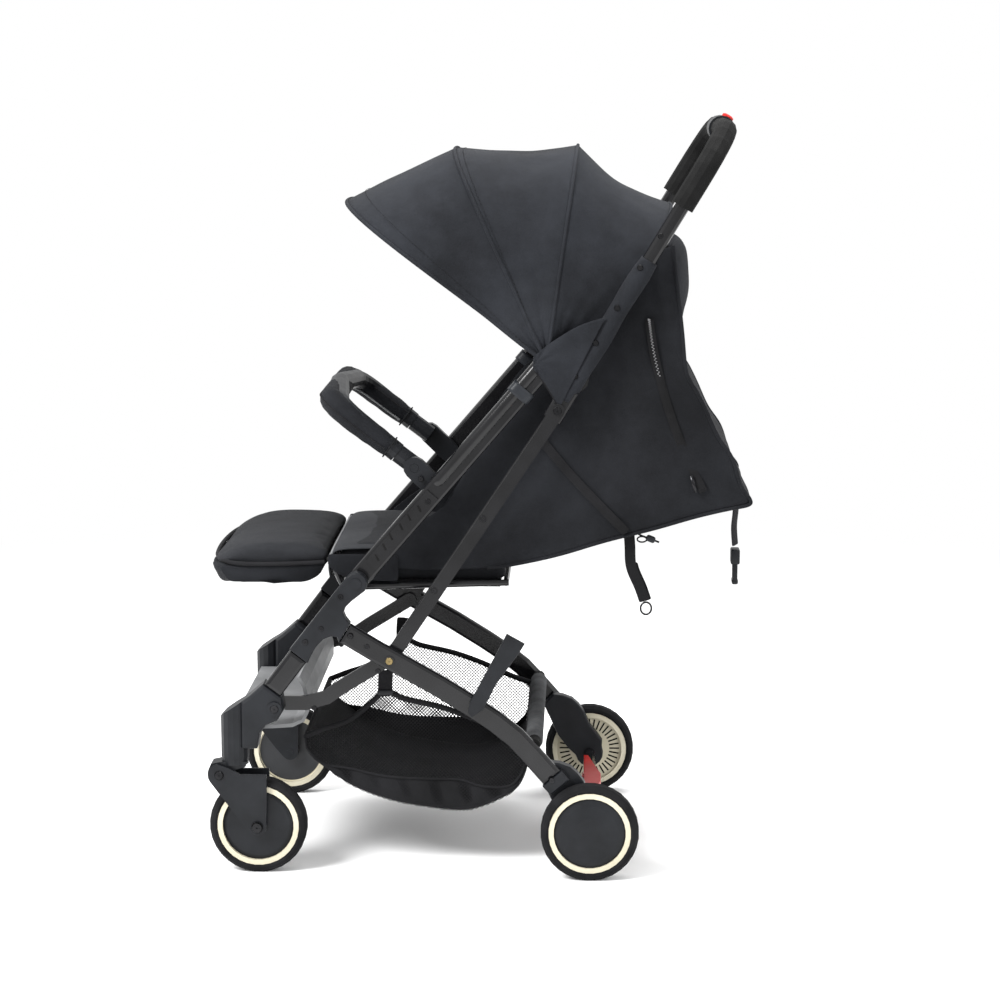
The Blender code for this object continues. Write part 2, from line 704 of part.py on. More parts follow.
def bracket(label, side):
    """The bracket that holds the front leg, the rear leg and the pin of the frame pivot."""
    lean = heading(FRONT_LEG_TOP, FRAME_PIVOT)
    drop = heading(REAR_LEG_LINE[0], REAR_LEG_LINE[1])
    half = BRACKET_WIDTH / 2
    outline = [
        step_from(FRONT_LEG_TOP, lean, GAP, -half),
        *BRACKET_FRONT,
        step_from(REAR_LEG_LINE[0], drop, -GAP, -LEG_WIDTH / 2),
        step_from(REAR_LEG_LINE[0], drop, -GAP, LEG_WIDTH / 2),
        *BRACKET_REAR,
        *arc(FRAME_PIVOT, half, lean - 90, lean + 90, 7),
        step_from(FRONT_LEG_TOP, lean, GAP, half),
    ]
    body = plate(outline, lateral(BRACKET_LAYER, side), EDGE_ROUND / 2)
    inner = TUBE_LAYER[0] + GAP
    shaft = pin(FRAME_PIVOT, PIVOT_PIN_RADIUS, lateral((inner, BRACKET_LAYER[1] - 0.004), side))
    head = pin(
        FRAME_PIVOT, RIVET_HEAD_RADIUS,
        lateral((BRACKET_LAYER[1] - 0.003, BRACKET_LAYER[1] + RIVET_HEAD_HEIGHT), side),
    )
    made = combine(body, [shaft, head], "UNION")
    return shade(node(made, f"y_bracket_{label}", DARK_PLASTIC))


def front_leg(label, side):
    line = [FRONT_LEG_BOTTOM, FRONT_LEG_TOP]
    body = plate(ribbon(line, FRONT_LEG_WIDTH), lateral(FRONT_LEG_LAYER, side), EDGE_ROUND * 1.4)
    return shade(node(body, f"front_leg_{label}", BLACK_TUBE))


def rear_leg(label, side):
    """The curved rear leg, with the rivet on which the strut turns."""
    body = plate(ribbon(REAR_LEG_LINE, LEG_WIDTH), lateral(LEG_LAYER, side), EDGE_ROUND * 1.2)
    shaft = pin(
        STRUT_PIVOT, RIVET_RADIUS, lateral((BRACE_LAYER[0], LEG_LAYER[1] - 0.004), side)
    )
    head = pin(
        STRUT_PIVOT, RIVET_HEAD_RADIUS,
        lateral((LEG_LAYER[1] - 0.003, LEG_LAYER[1] + RIVET_HEAD_HEIGHT), side),
    )
    made = combine(body, [shaft, head], "UNION")
    return shade(node(made, f"rear_leg_{label}", BLACK_TUBE))


def brace(label, side):
    hole = circle(STRUT_PIVOT, RIVET_RADIUS + PIN_PLAY)
    body = plate(
        ribbon(BRACE_LINE, BRACE_WIDTH, round_end=True), lateral(BRACE_LAYER, side), 0.0, [hole]
    )
    return shade(node(body, f"brace_{label}", BLACK_TUBE))


def rear_housing(label, side):
    """The moulded arm from the end of the rear leg down to the axle, with the stub axle."""
    axle = (REAR_AXLE_X, WHEEL_RADIUS)
    outline = [*HOUSING_FRONT, *arc(axle, HOUSING_FOOT_RADIUS, 190, 385, 9), *HOUSING_REAR]
    body = plate(outline, lateral(HOUSING_LAYER, side), EDGE_ROUND / 2)
    drop = heading(REAR_LEG_LINE[-2], REAR_LEG_LINE[-1])
    span = [step_from(REAR_LEG_LINE[-1], drop, distance) for distance in (GAP, COLLAR_LENGTH)]
    collar = plate(ribbon(span, COLLAR_WIDTH), lateral(COLLAR_LAYER, side), EDGE_ROUND / 2)
    inner_face = REAR_WHEEL_Y - TYRE_WIDTH / 2
    spacer = pin(axle, RIM_BOSS_RADIUS, lateral((SPACER_ROOT, inner_face - GAP), side))
    stub = pin(axle, AXLE_RADIUS, lateral((SPACER_ROOT, inner_face + TYRE_WIDTH), side))
    made = combine(body, [collar, spacer, stub], "UNION")
    return shade(node(made, f"rear_housing_{label}", DARK_PLASTIC))


def chassis():
    for label, side in SIDES:
        bracket(label, side)
        front_leg(label, side)
        rear_leg(label, side)
        brace(label, side)
        rear_housing(label, side)
        caster_housing(label, side)
        caster_yoke(label, side)
        fork(label, side)
    reach = LEG_LAYER[0] - GAP
    shade(node(pin(REAR_CROSSBAR, REAR_CROSSBAR_RADIUS, (-reach, reach)), "rear_crossbar", FOAM))
    reach = HOUSING_LAYER[0] - GAP
    shade(
        node(pin((REAR_AXLE_X, WHEEL_RADIUS), AXLE_TUBE_RADIUS, (-reach, reach)), "rear_axle", GREY_PLASTIC)
    )
    panel = plate(ribbon(FOOTREST_LINE, FOOTREST_THICKNESS), (-PANEL_HALF_WIDTH, PANEL_HALF_WIDTH))
    shade(node(panel, "footrest_panel", GREY_PLASTIC))
    face = LEG_LAYER[1] + GAP
    hook = plate(HOOK_OUTLINE, lateral((face, face + HOOK_THICKNESS), -1), EDGE_ROUND / 4)
    shade(node(hook, "fold_hook", DARK_PLASTIC))
    brake_pedal()


def brake_pedal():
    """The red pedal on the axle tube, widest at the middle, on two rings that turn on the tube."""
    x = REAR_AXLE_X
    under = WHEEL_RADIUS + AXLE_TUBE_RADIUS + 2 * GAP
    outline = [(x + PEDAL_FRONT, -PEDAL_REAR[0][1]), (x + PEDAL_FRONT, PEDAL_REAR[0][1])]
    outline.extend((x + rear, y) for rear, y in PEDAL_REAR)
    outline.extend((x + rear, -y) for rear, y in reversed(PEDAL_REAR))
    pad = plate([(px, -py) for px, py in outline], (0.0, PEDAL_THICKNESS), EDGE_ROUND / 4)
    pad.data.transform(Matrix.Rotation(math.pi / 2, 4, "X"))
    pad.data.transform(Matrix.Translation((0, 0, under)))
    rings = []
    bore = AXLE_TUBE_RADIUS + GAP
    for _, side in SIDES:
        ring = pin((x, WHEEL_RADIUS), PEDAL_RING_RADIUS, lateral(PEDAL_RING_SPAN, side), 16)
        rings.append(ring)
    hollow = pin((x, WHEEL_RADIUS), bore, (-PEDAL_RING_SPAN[1] - 0.01, PEDAL_RING_SPAN[1] + 0.01), 16)
    made = combine(combine(pad, rings, "UNION"), [hollow], "DIFFERENCE")
    shade(node(made, "brake_pedal", RED))


# Seat


def seat():
    rail_y = SEAT_HALF_WIDTH + GAP + RAIL_RADIUS + 0.0007
    pieces = []
    for _, side in SIDES:
        y = side * rail_y
        pieces.append(
            wire(
                rounded(
                    [
                        (LEG_REST_PIVOT[0], y, LEG_REST_PIVOT[1] + 0.004), (SEAT_ROD[0], y, SEAT_ROD[1]),
                        (SEAT_REAR[0], y, SEAT_REAR[1]),
                    ],
                    0.015,
                ),
                RAIL_RADIUS,
            )
        )
    rod_reach = BRACKET_LAYER[0] - GAP
    pieces.append(pin(SEAT_ROD, RAIL_RADIUS * 0.95, (-rod_reach, rod_reach)))
    pieces.append(pin(LEG_REST_PIVOT, RAIL_RADIUS * 0.9, (-rail_y - 0.003, rail_y + 0.003)))
    pieces.append(pin((SEAT_REAR[0] - 0.004, SEAT_REAR[1] - 0.001), RAIL_RADIUS * 0.9, (-rail_y, rail_y)))
    made = combine(pieces[0], pieces[1:], "UNION")
    shade(node(made, "seat_frame", BLACK_TUBE))
    width = SEAT_HALF_WIDTH
    top = BOARD_BOTTOM + BOARD_THICKNESS
    front = SEAT_ROD[0] + 0.010
    rear = SEAT_REAR[0] - 0.012
    shade(node(box((front, -width, BOARD_BOTTOM), (rear, width, top)), "seat_board", CHARCOAL))
    pad = cushion(
        (SEAT_PAD_FRONT, -width + 0.002, top + GAP), (SEAT_PAD_REAR, width - 0.002, top + SEAT_PAD_HEIGHT),
        0.014, (8, 8), 0.012,
    )
    shade(node(pad, "seat_pad", CHARCOAL))
    backrest()
    seat_shell()
    leg_rest()


def backrest():
    """The padded back, reclining about its lower edge."""
    width = BACKREST_HALF_WIDTH
    pad = cushion(
        (0, -width, -BACKREST_THICKNESS / 2), (BACKREST_LENGTH, width, BACKREST_THICKNESS / 2),
        0.006, (8, 6), 0.006,
    )
    pad.rotation_euler = (0, -math.radians(BACKREST_ANGLE), 0)
    pad.location = (BACKREST_PIVOT[0], 0, BACKREST_PIVOT[1])
    shade(node(pad, "backrest", CHARCOAL))


def seat_shell():
    """The open fabric body behind and under the backrest."""
    back = [(SEAT_REAR[0] + GAP + 0.0002, SEAT_REAR[1]), *SHELL_BACK]
    inner = []
    for k, point in enumerate(back):
        before = back[max(k - 1, 0)]
        after = back[min(k + 1, len(back) - 1)]
        inner.append(step_from(point, heading(before, after), 0, SHELL_WALL))
    inner[0] = step_from(inner[0], heading(back[0], back[1]), -0.02)
    inner[-1] = step_from(inner[-1], heading(back[-2], back[-1]), 0.02)
    inside = SHELL_HALF_WIDTH - SHELL_WALL
    body = plate([*back, *SHELL_FRONT], (-SHELL_HALF_WIDTH, SHELL_HALF_WIDTH))
    hollow = plate([*inner, *SHELL_MOUTH], (-inside, inside))
    made = combine(body, [hollow], "DIFFERENCE")
    shade(node(made, "seat_shell", CHARCOAL), 25)


def leg_rest():
    """The padded calf rest, turning down about the front edge of the seat."""
    clear = LEG_REST_PIVOT[0] - RAIL_RADIUS - GAP
    outline = [*((clear, height) for height in LEG_REST_HINGE_EDGE), *LEG_REST_SIDE]
    width = LEG_REST_HALF_WIDTH
    body = plate(outline, (-width, width), 0.006)
    shade(node(body, "leg_rest", CHARCOAL))


def basket():
    """The open storage basket below the seat, its rear edge at the crossbar between the legs."""
    rear = REAR_CROSSBAR[0] - REAR_CROSSBAR_RADIUS - GAP
    lower = [*BASKET_LOWER, (rear - 0.0010, BASKET_REAR_EDGE[0]), (rear, BASKET_REAR_EDGE[1])]
    inner = []
    for k, point in enumerate(lower):
        before = lower[max(k - 1, 0)]
        after = lower[min(k + 1, len(lower) - 1)]
        inner.append(step_from(point, heading(before, after), 0, BASKET_WALL))
    inner[0] = (inner[0][0], BASKET_CUT_TOP)
    inner[-1] = (inner[-1][0], BASKET_CUT_TOP)
    width = BASKET_HALF_WIDTH
    body = plate([*lower, *BASKET_UPPER], (-width, width))
    hollow = plate(inner, (-width + BASKET_WALL, width - BASKET_WALL))
    made = combine(body, [hollow], "DIFFERENCE")
    shade(node(made, "basket", MESH), 25)


# Main frame and struts


def main_tube(label, side):
    """The slanted main tube with its notched guide, its lug and the pin of the handle pivot."""
    lean = heading(FRAME_PIVOT, HANDLE_PIVOT)
    body = plate(
        ribbon([FRAME_PIVOT, HANDLE_PIVOT], MAIN_TUBE_WIDTH, True, True),
        lateral(TUBE_LAYER, side), EDGE_ROUND,
        [circle(FRAME_PIVOT, PIVOT_PIN_RADIUS + PIN_PLAY)],
    )
    span = [step_from(FRAME_PIVOT, lean, distance) for distance in GUIDE_SPAN]
    face = TUBE_LAYER[1]
    guide = plate(ribbon(span, GUIDE_WIDTH), lateral((face - 0.001, face + GUIDE_HEIGHT), side))
    stack = CANOPY_HALF_WIDTH - 0.0061 - 3 * BOW_STACK_STEP
    shaft = pin(HANDLE_PIVOT, PIVOT_PIN_RADIUS, lateral((stack, TUBE_LAYER[0] + 0.004), side))
    made = combine(body, [guide, shaft], "UNION")
    return shade(node(made, f"main_tube_{label}", BLACK_TUBE))


def strut(label, side):
    hole = circle(STRUT_PIVOT, RIVET_RADIUS + PIN_PLAY)
    line = [STRUT_PIVOT, LINK_PIVOT]
    body = plate(ribbon(line, STRUT_WIDTH, True, True), lateral(STRUT_LAYER, side), 0.0, [hole])
    face = STRUT_LAYER[1]
    rivet = pin(LINK_PIVOT, RIVET_HEAD_RADIUS, lateral((face - 0.001, face + 0.002), side))
    made = combine(body, [rivet], "UNION")
    return shade(node(made, f"strut_{label}", BLACK_TUBE))


def belly_socket(label, side):
    """The lug on the main tube that takes one end of the belly bar."""
    lean = heading(FRAME_PIVOT, HANDLE_PIVOT)
    foot = step_from(FRAME_PIVOT, lean, BELLY_LUG_FOOT)
    lug = plate(ribbon([foot, BELLY_SOCKET], BELLY_LUG_WIDTH, True, True), lateral(BELLY_LUG_LAYER, side))
    foot_pad = pin(foot, 0.013, lateral((BELLY_LUG_LAYER[0] + 0.002, TUBE_LAYER[0] - GAP), side))
    sleeve = belly_cylinder(side, BELLY_SLEEVE_RADIUS, -0.002, BELLY_SLEEVE_END)
    bore_start = BELLY_STUB_SPAN[0] - 0.002
    bore = belly_cylinder(side, BELLY_STUB_RADIUS + PIN_PLAY, bore_start, BELLY_STUB_SPAN[1])
    recess = pin(BELLY_SOCKET, BELLY_BUTTON_RADIUS + PIN_PLAY, lateral((BELLY_BUTTON_FLOOR, 0.190), side))
    made = combine(combine(lug, [foot_pad, sleeve], "UNION"), [bore, recess], "DIFFERENCE")
    shade(node(made, f"belly_socket_{label}", DARK_PLASTIC))
    face = BELLY_LUG_LAYER[1]
    button = pin(
        BELLY_SOCKET, BELLY_BUTTON_RADIUS,
        lateral((BELLY_BUTTON_FLOOR + BELLY_BUTTON_TRAVEL + GAP, face), side),
    )
    shade(node(button, f"belly_button_{label}", DARK_PLASTIC))


def belly_cylinder(side, radius, start, end):
    """A round piece on the axis of one arm of the belly bar, between two distances from its socket."""
    first = step_from(BELLY_SOCKET, BELLY_ANGLE, start)
    last = step_from(BELLY_SOCKET, BELLY_ANGLE, end)
    y = side * BELLY_HALF_WIDTH
    return wire([(first[0], y, first[1]), (last[0], y, last[1])], radius)


def belly_bar():
    """The padded bar across the front, whose ends slide into the two sockets."""
    start = step_from(BELLY_SOCKET, BELLY_ANGLE, BELLY_SLEEVE_END + 2 * GAP)
    x, z = BELLY_FRONT
    half = BELLY_HALF_WIDTH
    path = [
        (start[0], -half, start[1]), (x + 0.010, -half, z - 0.010), (x - 0.004, 0.0, z + 0.002),
        (x + 0.010, half, z - 0.010), (start[0], half, start[1]),
    ]
    bar = wire(rounded(path, BELLY_CORNER, 5), BELLY_RADIUS)
    stubs = [belly_cylinder(side, BELLY_STUB_RADIUS, *BELLY_STUB_SPAN) for _, side in SIDES]
    made = combine(bar, stubs, "UNION")
    shade(node(made, "belly_bar", CHARCOAL))


# Handle


def handle_place(distance, y, across=0.0):
    point = step_from(LINK_PIVOT, HANDLE_ANGLE, distance, across)
    return (point[0], y, point[1])


def handle_path(reach_back):
    corners = [
        handle_place(reach_back, -HANDLE_TUBE_Y), handle_place(HANDLE_LENGTH, -HANDLE_TUBE_Y),
        handle_place(HANDLE_LENGTH, HANDLE_TUBE_Y), handle_place(reach_back, HANDLE_TUBE_Y),
    ]
    return rounded(corners, HANDLE_BEND, 6)


def handle():
    """The U of the handle with its hub plates, grips, centre housing and fold button."""
    tube = wire(handle_path(-0.012), HANDLE_TUBE_RADIUS)
    extras = []
    arm = [HANDLE_PIVOT, step_from(LINK_PIVOT, HANDLE_ANGLE, HUB_PLATE_FOOT)]
    clamp = [step_from(LINK_PIVOT, HANDLE_ANGLE, distance) for distance in CLAMP_SPAN]
    for _, side in SIDES:
        extras.append(plate(ribbon(arm, HUB_PLATE_WIDTH, True, True), lateral(HUB_PLATE_LAYER, side)))
        extras.append(plate(ribbon(clamp, CLAMP_WIDTH), lateral(CLAMP_LAYER, side), EDGE_ROUND))
    made = combine(tube, extras, "UNION")
    cut = (HUB_PLATE_LAYER[0] - 0.0075, HUB_PLATE_LAYER[1] + 0.0060)
    bores = [pin(HANDLE_PIVOT, PIVOT_PIN_RADIUS + PIN_PLAY, lateral(cut, side)) for _, side in SIDES]
    made = combine(made, bores, "DIFFERENCE")
    shade(node(made, "handle_tube", BLACK_TUBE))
    grips()


def grips():
    """The two foam grips, bored for the tube, up to the centre housing."""
    corners = handle_path(GRIP_START)
    near = corners[:len(corners) // 2]
    bore = HANDLE_TUBE_RADIUS + GRIP_PLAY
    for label, side in SIDES:
        bend = [Vector((point.x, -side * point.y, point.z)) for point in near[1:]]
        start = Vector(handle_place(GRIP_START, side * HANDLE_TUBE_Y))
        before = Vector(handle_place(GRIP_START - 0.02, side * HANDLE_TUBE_Y))
        end = Vector(handle_place(HANDLE_LENGTH, side * (HANDLE_CENTRE_HALF + GAP)))
        middle = Vector(handle_place(HANDLE_LENGTH, 0.0))
        sleeve = wire([start, *bend, end], GRIP_RADIUS)
        core = wire([before, *bend, middle], bore)
        made = combine(sleeve, [core], "DIFFERENCE")
        shade(node(made, f"handle_grip_{label}", FOAM))
    handle_middle(bore)


def handle_middle(bore):
    """The housing between the grips, with the fold button in its recess."""
    centre = step_from(LINK_PIVOT, HANDLE_ANGLE, HANDLE_LENGTH)
    half = HANDLE_CENTRE_HALF
    body = pin(centre, HANDLE_CENTRE_RADIUS, (-half, half), 16)
    core = pin(centre, bore, (-half - 0.01, half + 0.01), 16)
    wall = BUTTON_RADIUS + PIN_PLAY
    above = BUTTON_FLOOR + 0.0175
    recess = turned([(0, above), (wall, above), (wall, BUTTON_FLOOR), (0, BUTTON_FLOOR)], False, SMALL_SIDES)
    tip = math.radians(90 - HANDLE_ANGLE)
    recess.rotation_euler = (0, tip, 0)
    recess.location = (centre[0], 0, centre[1])
    made = combine(body, [core, evaluated_mesh(recess)], "DIFFERENCE")
    shade(node(made, "handle_centre", DARK_PLASTIC))
    foot = BUTTON_FLOOR + BUTTON_TRAVEL
    crest = foot + BUTTON_HEIGHT
    button = turned(
        [
            (0, crest), (BUTTON_RADIUS * 0.6, crest - 0.0004), (BUTTON_RADIUS, crest - 0.0022),
            (BUTTON_RADIUS, foot), (0, foot),
        ],
        False, SMALL_SIDES,
    )
    button.rotation_euler = (0, tip, 0)
    button.location = (centre[0], 0, centre[1])
    shade(node(button, "fold_button", RED))


# Canopy


def arch(angle, reach, inset, start):
    """Points of a canopy arch, from one side of the hub over the top to the other side.

    The arch lies in a plane through the handle pivot's axis, at an angle in degrees in the side
    view. `inset` draws it in from the cloth's outer size on all sides.
    """
    width = CANOPY_HALF_WIDTH - inset
    top = reach - inset
    shoulder = reach * CANOPY_SHOULDER_SHARE
    turn = math.radians(angle)
    profile = [(-width, start), (-width, (start + shoulder) / 2)]
    for k in range(ARCH_STEPS + 1):
        sweep = math.pi * (1 - k / ARCH_STEPS)
        across = math.copysign(abs(math.cos(sweep)) ** (2 / 3), math.cos(sweep))
        rise = abs(math.sin(sweep)) ** (2 / 3)
        profile.append((width * across, shoulder + (top - shoulder) * rise))
    profile.extend([(width, (start + shoulder) / 2), (width, start)])
    return [
        Vector((HANDLE_PIVOT[0] + r * math.cos(turn), y, HANDLE_PIVOT[1] + r * math.sin(turn)))
        for y, r in profile
    ]


def canopy_bow(name, angle, reach, layer):
    """One bow: a thin hoop with a disc on the pivot pin at each side."""
    inset = CANOPY_CLOTH / 2 + GAP + BOW_RADIUS + layer * BOW_STACK_STEP
    hoop = wire(arch(angle, reach, inset, BOW_ROOT), BOW_RADIUS, 1)
    y = CANOPY_HALF_WIDTH - inset
    discs = [
        pin(HANDLE_PIVOT, BOW_DISC_RADIUS, lateral((y - BOW_RADIUS, y + BOW_RADIUS), side), 16)
        for _, side in SIDES
    ]
    made = combine(hoop, discs, "UNION")
    bores = [
        pin(HANDLE_PIVOT, PIVOT_PIN_RADIUS + PIN_PLAY, lateral((y - 0.01, y + 0.01), side))
        for _, side in SIDES
    ]
    made = combine(made, bores, "DIFFERENCE")
    shade(node(made, name, BLACK_TUBE))


def canopy_panel(name, first, last, play):
    """The cloth between two arches, as a thin closed solid, short of them by two angles."""
    sections = []
    start = first[0] - play[0]
    end = last[0] + play[1]
    for k in range(CANOPY_SECTIONS + 1):
        share = k / CANOPY_SECTIONS
        reach = first[1] + (last[1] - first[1]) * share
        sections.append(arch(start + (end - start) * share, reach, 0.0, CANOPY_ROOT))
    shade(node(grid_solid(sections, CANOPY_CLOTH), name, CHARCOAL))


def canopy():
    for layer, key in enumerate(("front", "mid", "rear")):
        angle, reach = CANOPY_BOWS[key]
        canopy_bow(f"canopy_bow_{key}", angle, reach, layer)
    play = CANOPY_SEAM_ANGLE
    canopy_panel("canopy_front", CANOPY_BOWS["front"], CANOPY_BOWS["mid"], (0.0, play))
    canopy_panel("canopy_top", CANOPY_BOWS["mid"], CANOPY_BOWS["rear"], (play, play))
    canopy_panel("canopy_rear", CANOPY_BOWS["rear"], CANOPY_REAR_EDGE, (play, 0.0))


def build():
    wheels()
    chassis()
    seat()
    basket()
    for label, side in SIDES:
        main_tube(label, side)
        strut(label, side)
        belly_socket(label, side)
    belly_bar()
    handle()
    canopy()


build()
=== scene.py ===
import json
import math

import bmesh
import bpy
from mathutils import Matrix, Vector, noise


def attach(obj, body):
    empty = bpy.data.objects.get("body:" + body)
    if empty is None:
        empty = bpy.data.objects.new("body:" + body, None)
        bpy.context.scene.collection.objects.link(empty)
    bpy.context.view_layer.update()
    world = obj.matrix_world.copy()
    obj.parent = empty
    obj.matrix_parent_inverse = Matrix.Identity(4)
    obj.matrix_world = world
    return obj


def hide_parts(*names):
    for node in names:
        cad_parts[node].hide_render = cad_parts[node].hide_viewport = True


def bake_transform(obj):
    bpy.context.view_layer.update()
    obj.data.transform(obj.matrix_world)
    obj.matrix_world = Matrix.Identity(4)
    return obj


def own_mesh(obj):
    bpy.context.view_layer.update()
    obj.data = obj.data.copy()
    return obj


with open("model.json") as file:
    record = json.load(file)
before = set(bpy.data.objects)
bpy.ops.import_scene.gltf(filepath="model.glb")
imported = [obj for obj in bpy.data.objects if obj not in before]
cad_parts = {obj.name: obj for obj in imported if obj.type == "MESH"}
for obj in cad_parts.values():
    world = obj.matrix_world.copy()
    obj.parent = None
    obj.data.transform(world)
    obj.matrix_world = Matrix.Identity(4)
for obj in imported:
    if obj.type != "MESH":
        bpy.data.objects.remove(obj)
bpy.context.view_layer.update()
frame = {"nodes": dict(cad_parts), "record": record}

SIDES = (("left", -1), ("right", 1))

# Places in side view are (x, z) in metres, angles are in degrees, and y is the distance from the middle plane
FRAME_PIVOT = (-0.164, 0.412)
HUB = (0.095, 0.713)
LINK_PIVOT = (0.11, 0.649)
HANDLE_ANGLE = 58.9
HANDLE_TUBE_Y = 0.1922
MAIN_ANGLE = math.degrees(math.atan2(HUB[1] - FRAME_PIVOT[1], HUB[0] - FRAME_PIVOT[0]))
CANOPY_HALF_WIDTH = 0.1755
CANOPY_BOWS = {"front": (143.5, 0.352), "mid": (115.0, 0.311), "rear": (82.0, 0.288)}
CANOPY_REAR_EDGE = (50.0, 0.266)
SHELL_HALF_WIDTH = 0.166
WHEEL_RADIUS = 0.0675
FRONT_AXLE = (-0.304, WHEEL_RADIUS)
REAR_AXLE = (0.1565, WHEEL_RADIUS)


# Materials


def graph(name):
    """A new material with its tree, its shader and its object coordinates."""
    made = bpy.data.materials.new(name)
    made.use_nodes = True
    tree = made.node_tree
    shader = tree.nodes["Principled BSDF"]
    place = tree.nodes.new("ShaderNodeTexCoord").outputs["Object"]
    return made, tree, shader, place


def noise_node(tree, place, scale, detail=3.0, roughness=0.55):
    """Noise over a place in the material."""
    made = tree.nodes.new("ShaderNodeTexNoise")
    made.inputs["Scale"].default_value = scale
    made.inputs["Detail"].default_value = detail
    made.inputs["Roughness"].default_value = roughness
    tree.links.new(place, made.inputs["Vector"])
    return made.outputs["Fac"]


def wave_node(tree, place, scale, direction):
    """Even bands along one axis of a place in the material."""
    made = tree.nodes.new("ShaderNodeTexWave")
    made.wave_type = "BANDS"
    made.bands_direction = direction
    made.inputs["Scale"].default_value = scale
    tree.links.new(place, made.inputs["Vector"])
    return made.outputs["Fac"]


def ramp_node(tree, value, stops):
    """The colour that a value meets among stops of colour."""
    made = tree.nodes.new("ShaderNodeValToRGB")
    while len(made.color_ramp.elements) < len(stops):
        made.color_ramp.elements.new(0.5)
    for element, (position, color) in zip(made.color_ramp.elements, stops):
        element.position = position
        element.color = (*color, 1.0)
    tree.links.new(value, made.inputs["Fac"])
    return made.outputs["Color"]


def math_node(tree, operation, first, second):
    """A sum, product or comparison of two values, each a number or a socket."""
    made = tree.nodes.new("ShaderNodeMath")
    made.operation = operation
    for socket, value in zip(made.inputs, (first, second)):
        if isinstance(value, (int, float)):
            socket.default_value = value
        else:
            tree.links.new(value, socket)
    return made.outputs[0]


def span_node(tree, value, low, high):
    """Spreads a value between 0 and 1 from low to high."""
    made = tree.nodes.new("ShaderNodeMapRange")
    made.inputs["To Min"].default_value = low
    made.inputs["To Max"].default_value = high
    tree.links.new(value, made.inputs["Value"])
    return made.outputs["Result"]


def bump_node(tree, shader, heights):
    """Stacks bumps given as (height, distance in metres, strength)."""
    previous = None
    for height, distance, strength in heights:
        made = tree.nodes.new("ShaderNodeBump")
        made.inputs["Distance"].default_value = distance
        made.inputs["Strength"].default_value = strength
        tree.links.new(height, made.inputs["Height"])
        if previous is not None:
            tree.links.new(previous, made.inputs["Normal"])
        previous = made.outputs["Normal"]
    tree.links.new(previous, shader.inputs["Normal"])


def cloth_look(name, dark, light, weave=1100.0, roughness=(0.72, 0.9), sheen=0.02, crease=0.6):
    """Woven cloth: two thread directions, a mottled dye with broad patches, and soft creases."""
    made, tree, shader, place = graph(name)
    mottle = noise_node(tree, place, 38.0, 5.0, 0.65)
    patches = noise_node(tree, place, 6.0, 1.0, 0.4)
    thread = noise_node(tree, place, 900.0, 2.0)
    warp = wave_node(tree, place, weave, "DIAGONAL")
    weft = wave_node(tree, place, weave, "X")
    woven = math_node(tree, "MULTIPLY", warp, weft)
    fine = math_node(tree, "MULTIPLY", thread, 0.25)
    grain = math_node(tree, "ADD", math_node(tree, "MULTIPLY", mottle, 0.25), fine)
    tone = math_node(tree, "ADD", grain, math_node(tree, "MULTIPLY", patches, 0.5))
    tree.links.new(ramp_node(tree, tone, ((0.39, dark), (0.63, light))), shader.inputs["Base Color"])
    tree.links.new(span_node(tree, tone, *roughness), shader.inputs["Roughness"])
    shader.inputs["Sheen Weight"].default_value = sheen
    shader.inputs["Sheen Roughness"].default_value = 0.4
    shader.inputs["Specular IOR Level"].default_value = 0.14
    folds = noise_node(tree, place, 14.0, 3.0, 0.5)
    bump_node(tree, shader, ((folds, 0.006, crease), (woven, 0.0003, 0.5), (thread, 0.0002, 0.35)))
    return made


def moulded_look(name, dark, light, roughness, grain=1400.0, depth=0.3, metallic=0.0, polish=0.2):
    """Moulded or painted surface: fine grain, slight drift of colour and polish."""
    made, tree, shader, place = graph(name)
    drift = noise_node(tree, place, 22.0, 4.0)
    fine = noise_node(tree, place, grain, 2.0)
    tree.links.new(ramp_node(tree, drift, ((0.32, dark), (0.7, light))), shader.inputs["Base Color"])
    grain = noise_node(tree, place, 65.0, 5.0)
    tree.links.new(span_node(tree, grain, *roughness), shader.inputs["Roughness"])
    shader.inputs["Metallic"].default_value = metallic
    shader.inputs["Specular IOR Level"].default_value = polish
    bump_node(tree, shader, ((fine, 0.00025, depth),))
    return made


def foam_look(name, dark, light):
    """Foam or rubber with fine cells."""
    made, tree, shader, place = graph(name)
    cells = tree.nodes.new("ShaderNodeTexVoronoi")
    cells.inputs["Scale"].default_value = 650.0
    tree.links.new(place, cells.inputs["Vector"])
    drift = noise_node(tree, place, 30.0, 4.0)
    tree.links.new(ramp_node(tree, drift, ((0.3, dark), (0.7, light))), shader.inputs["Base Color"])
    shader.inputs["Roughness"].default_value = 0.85
    shader.inputs["Specular IOR Level"].default_value = 0.12
    bump_node(tree, shader, ((cells.outputs["Distance"], 0.0004, 0.6),))
    return made


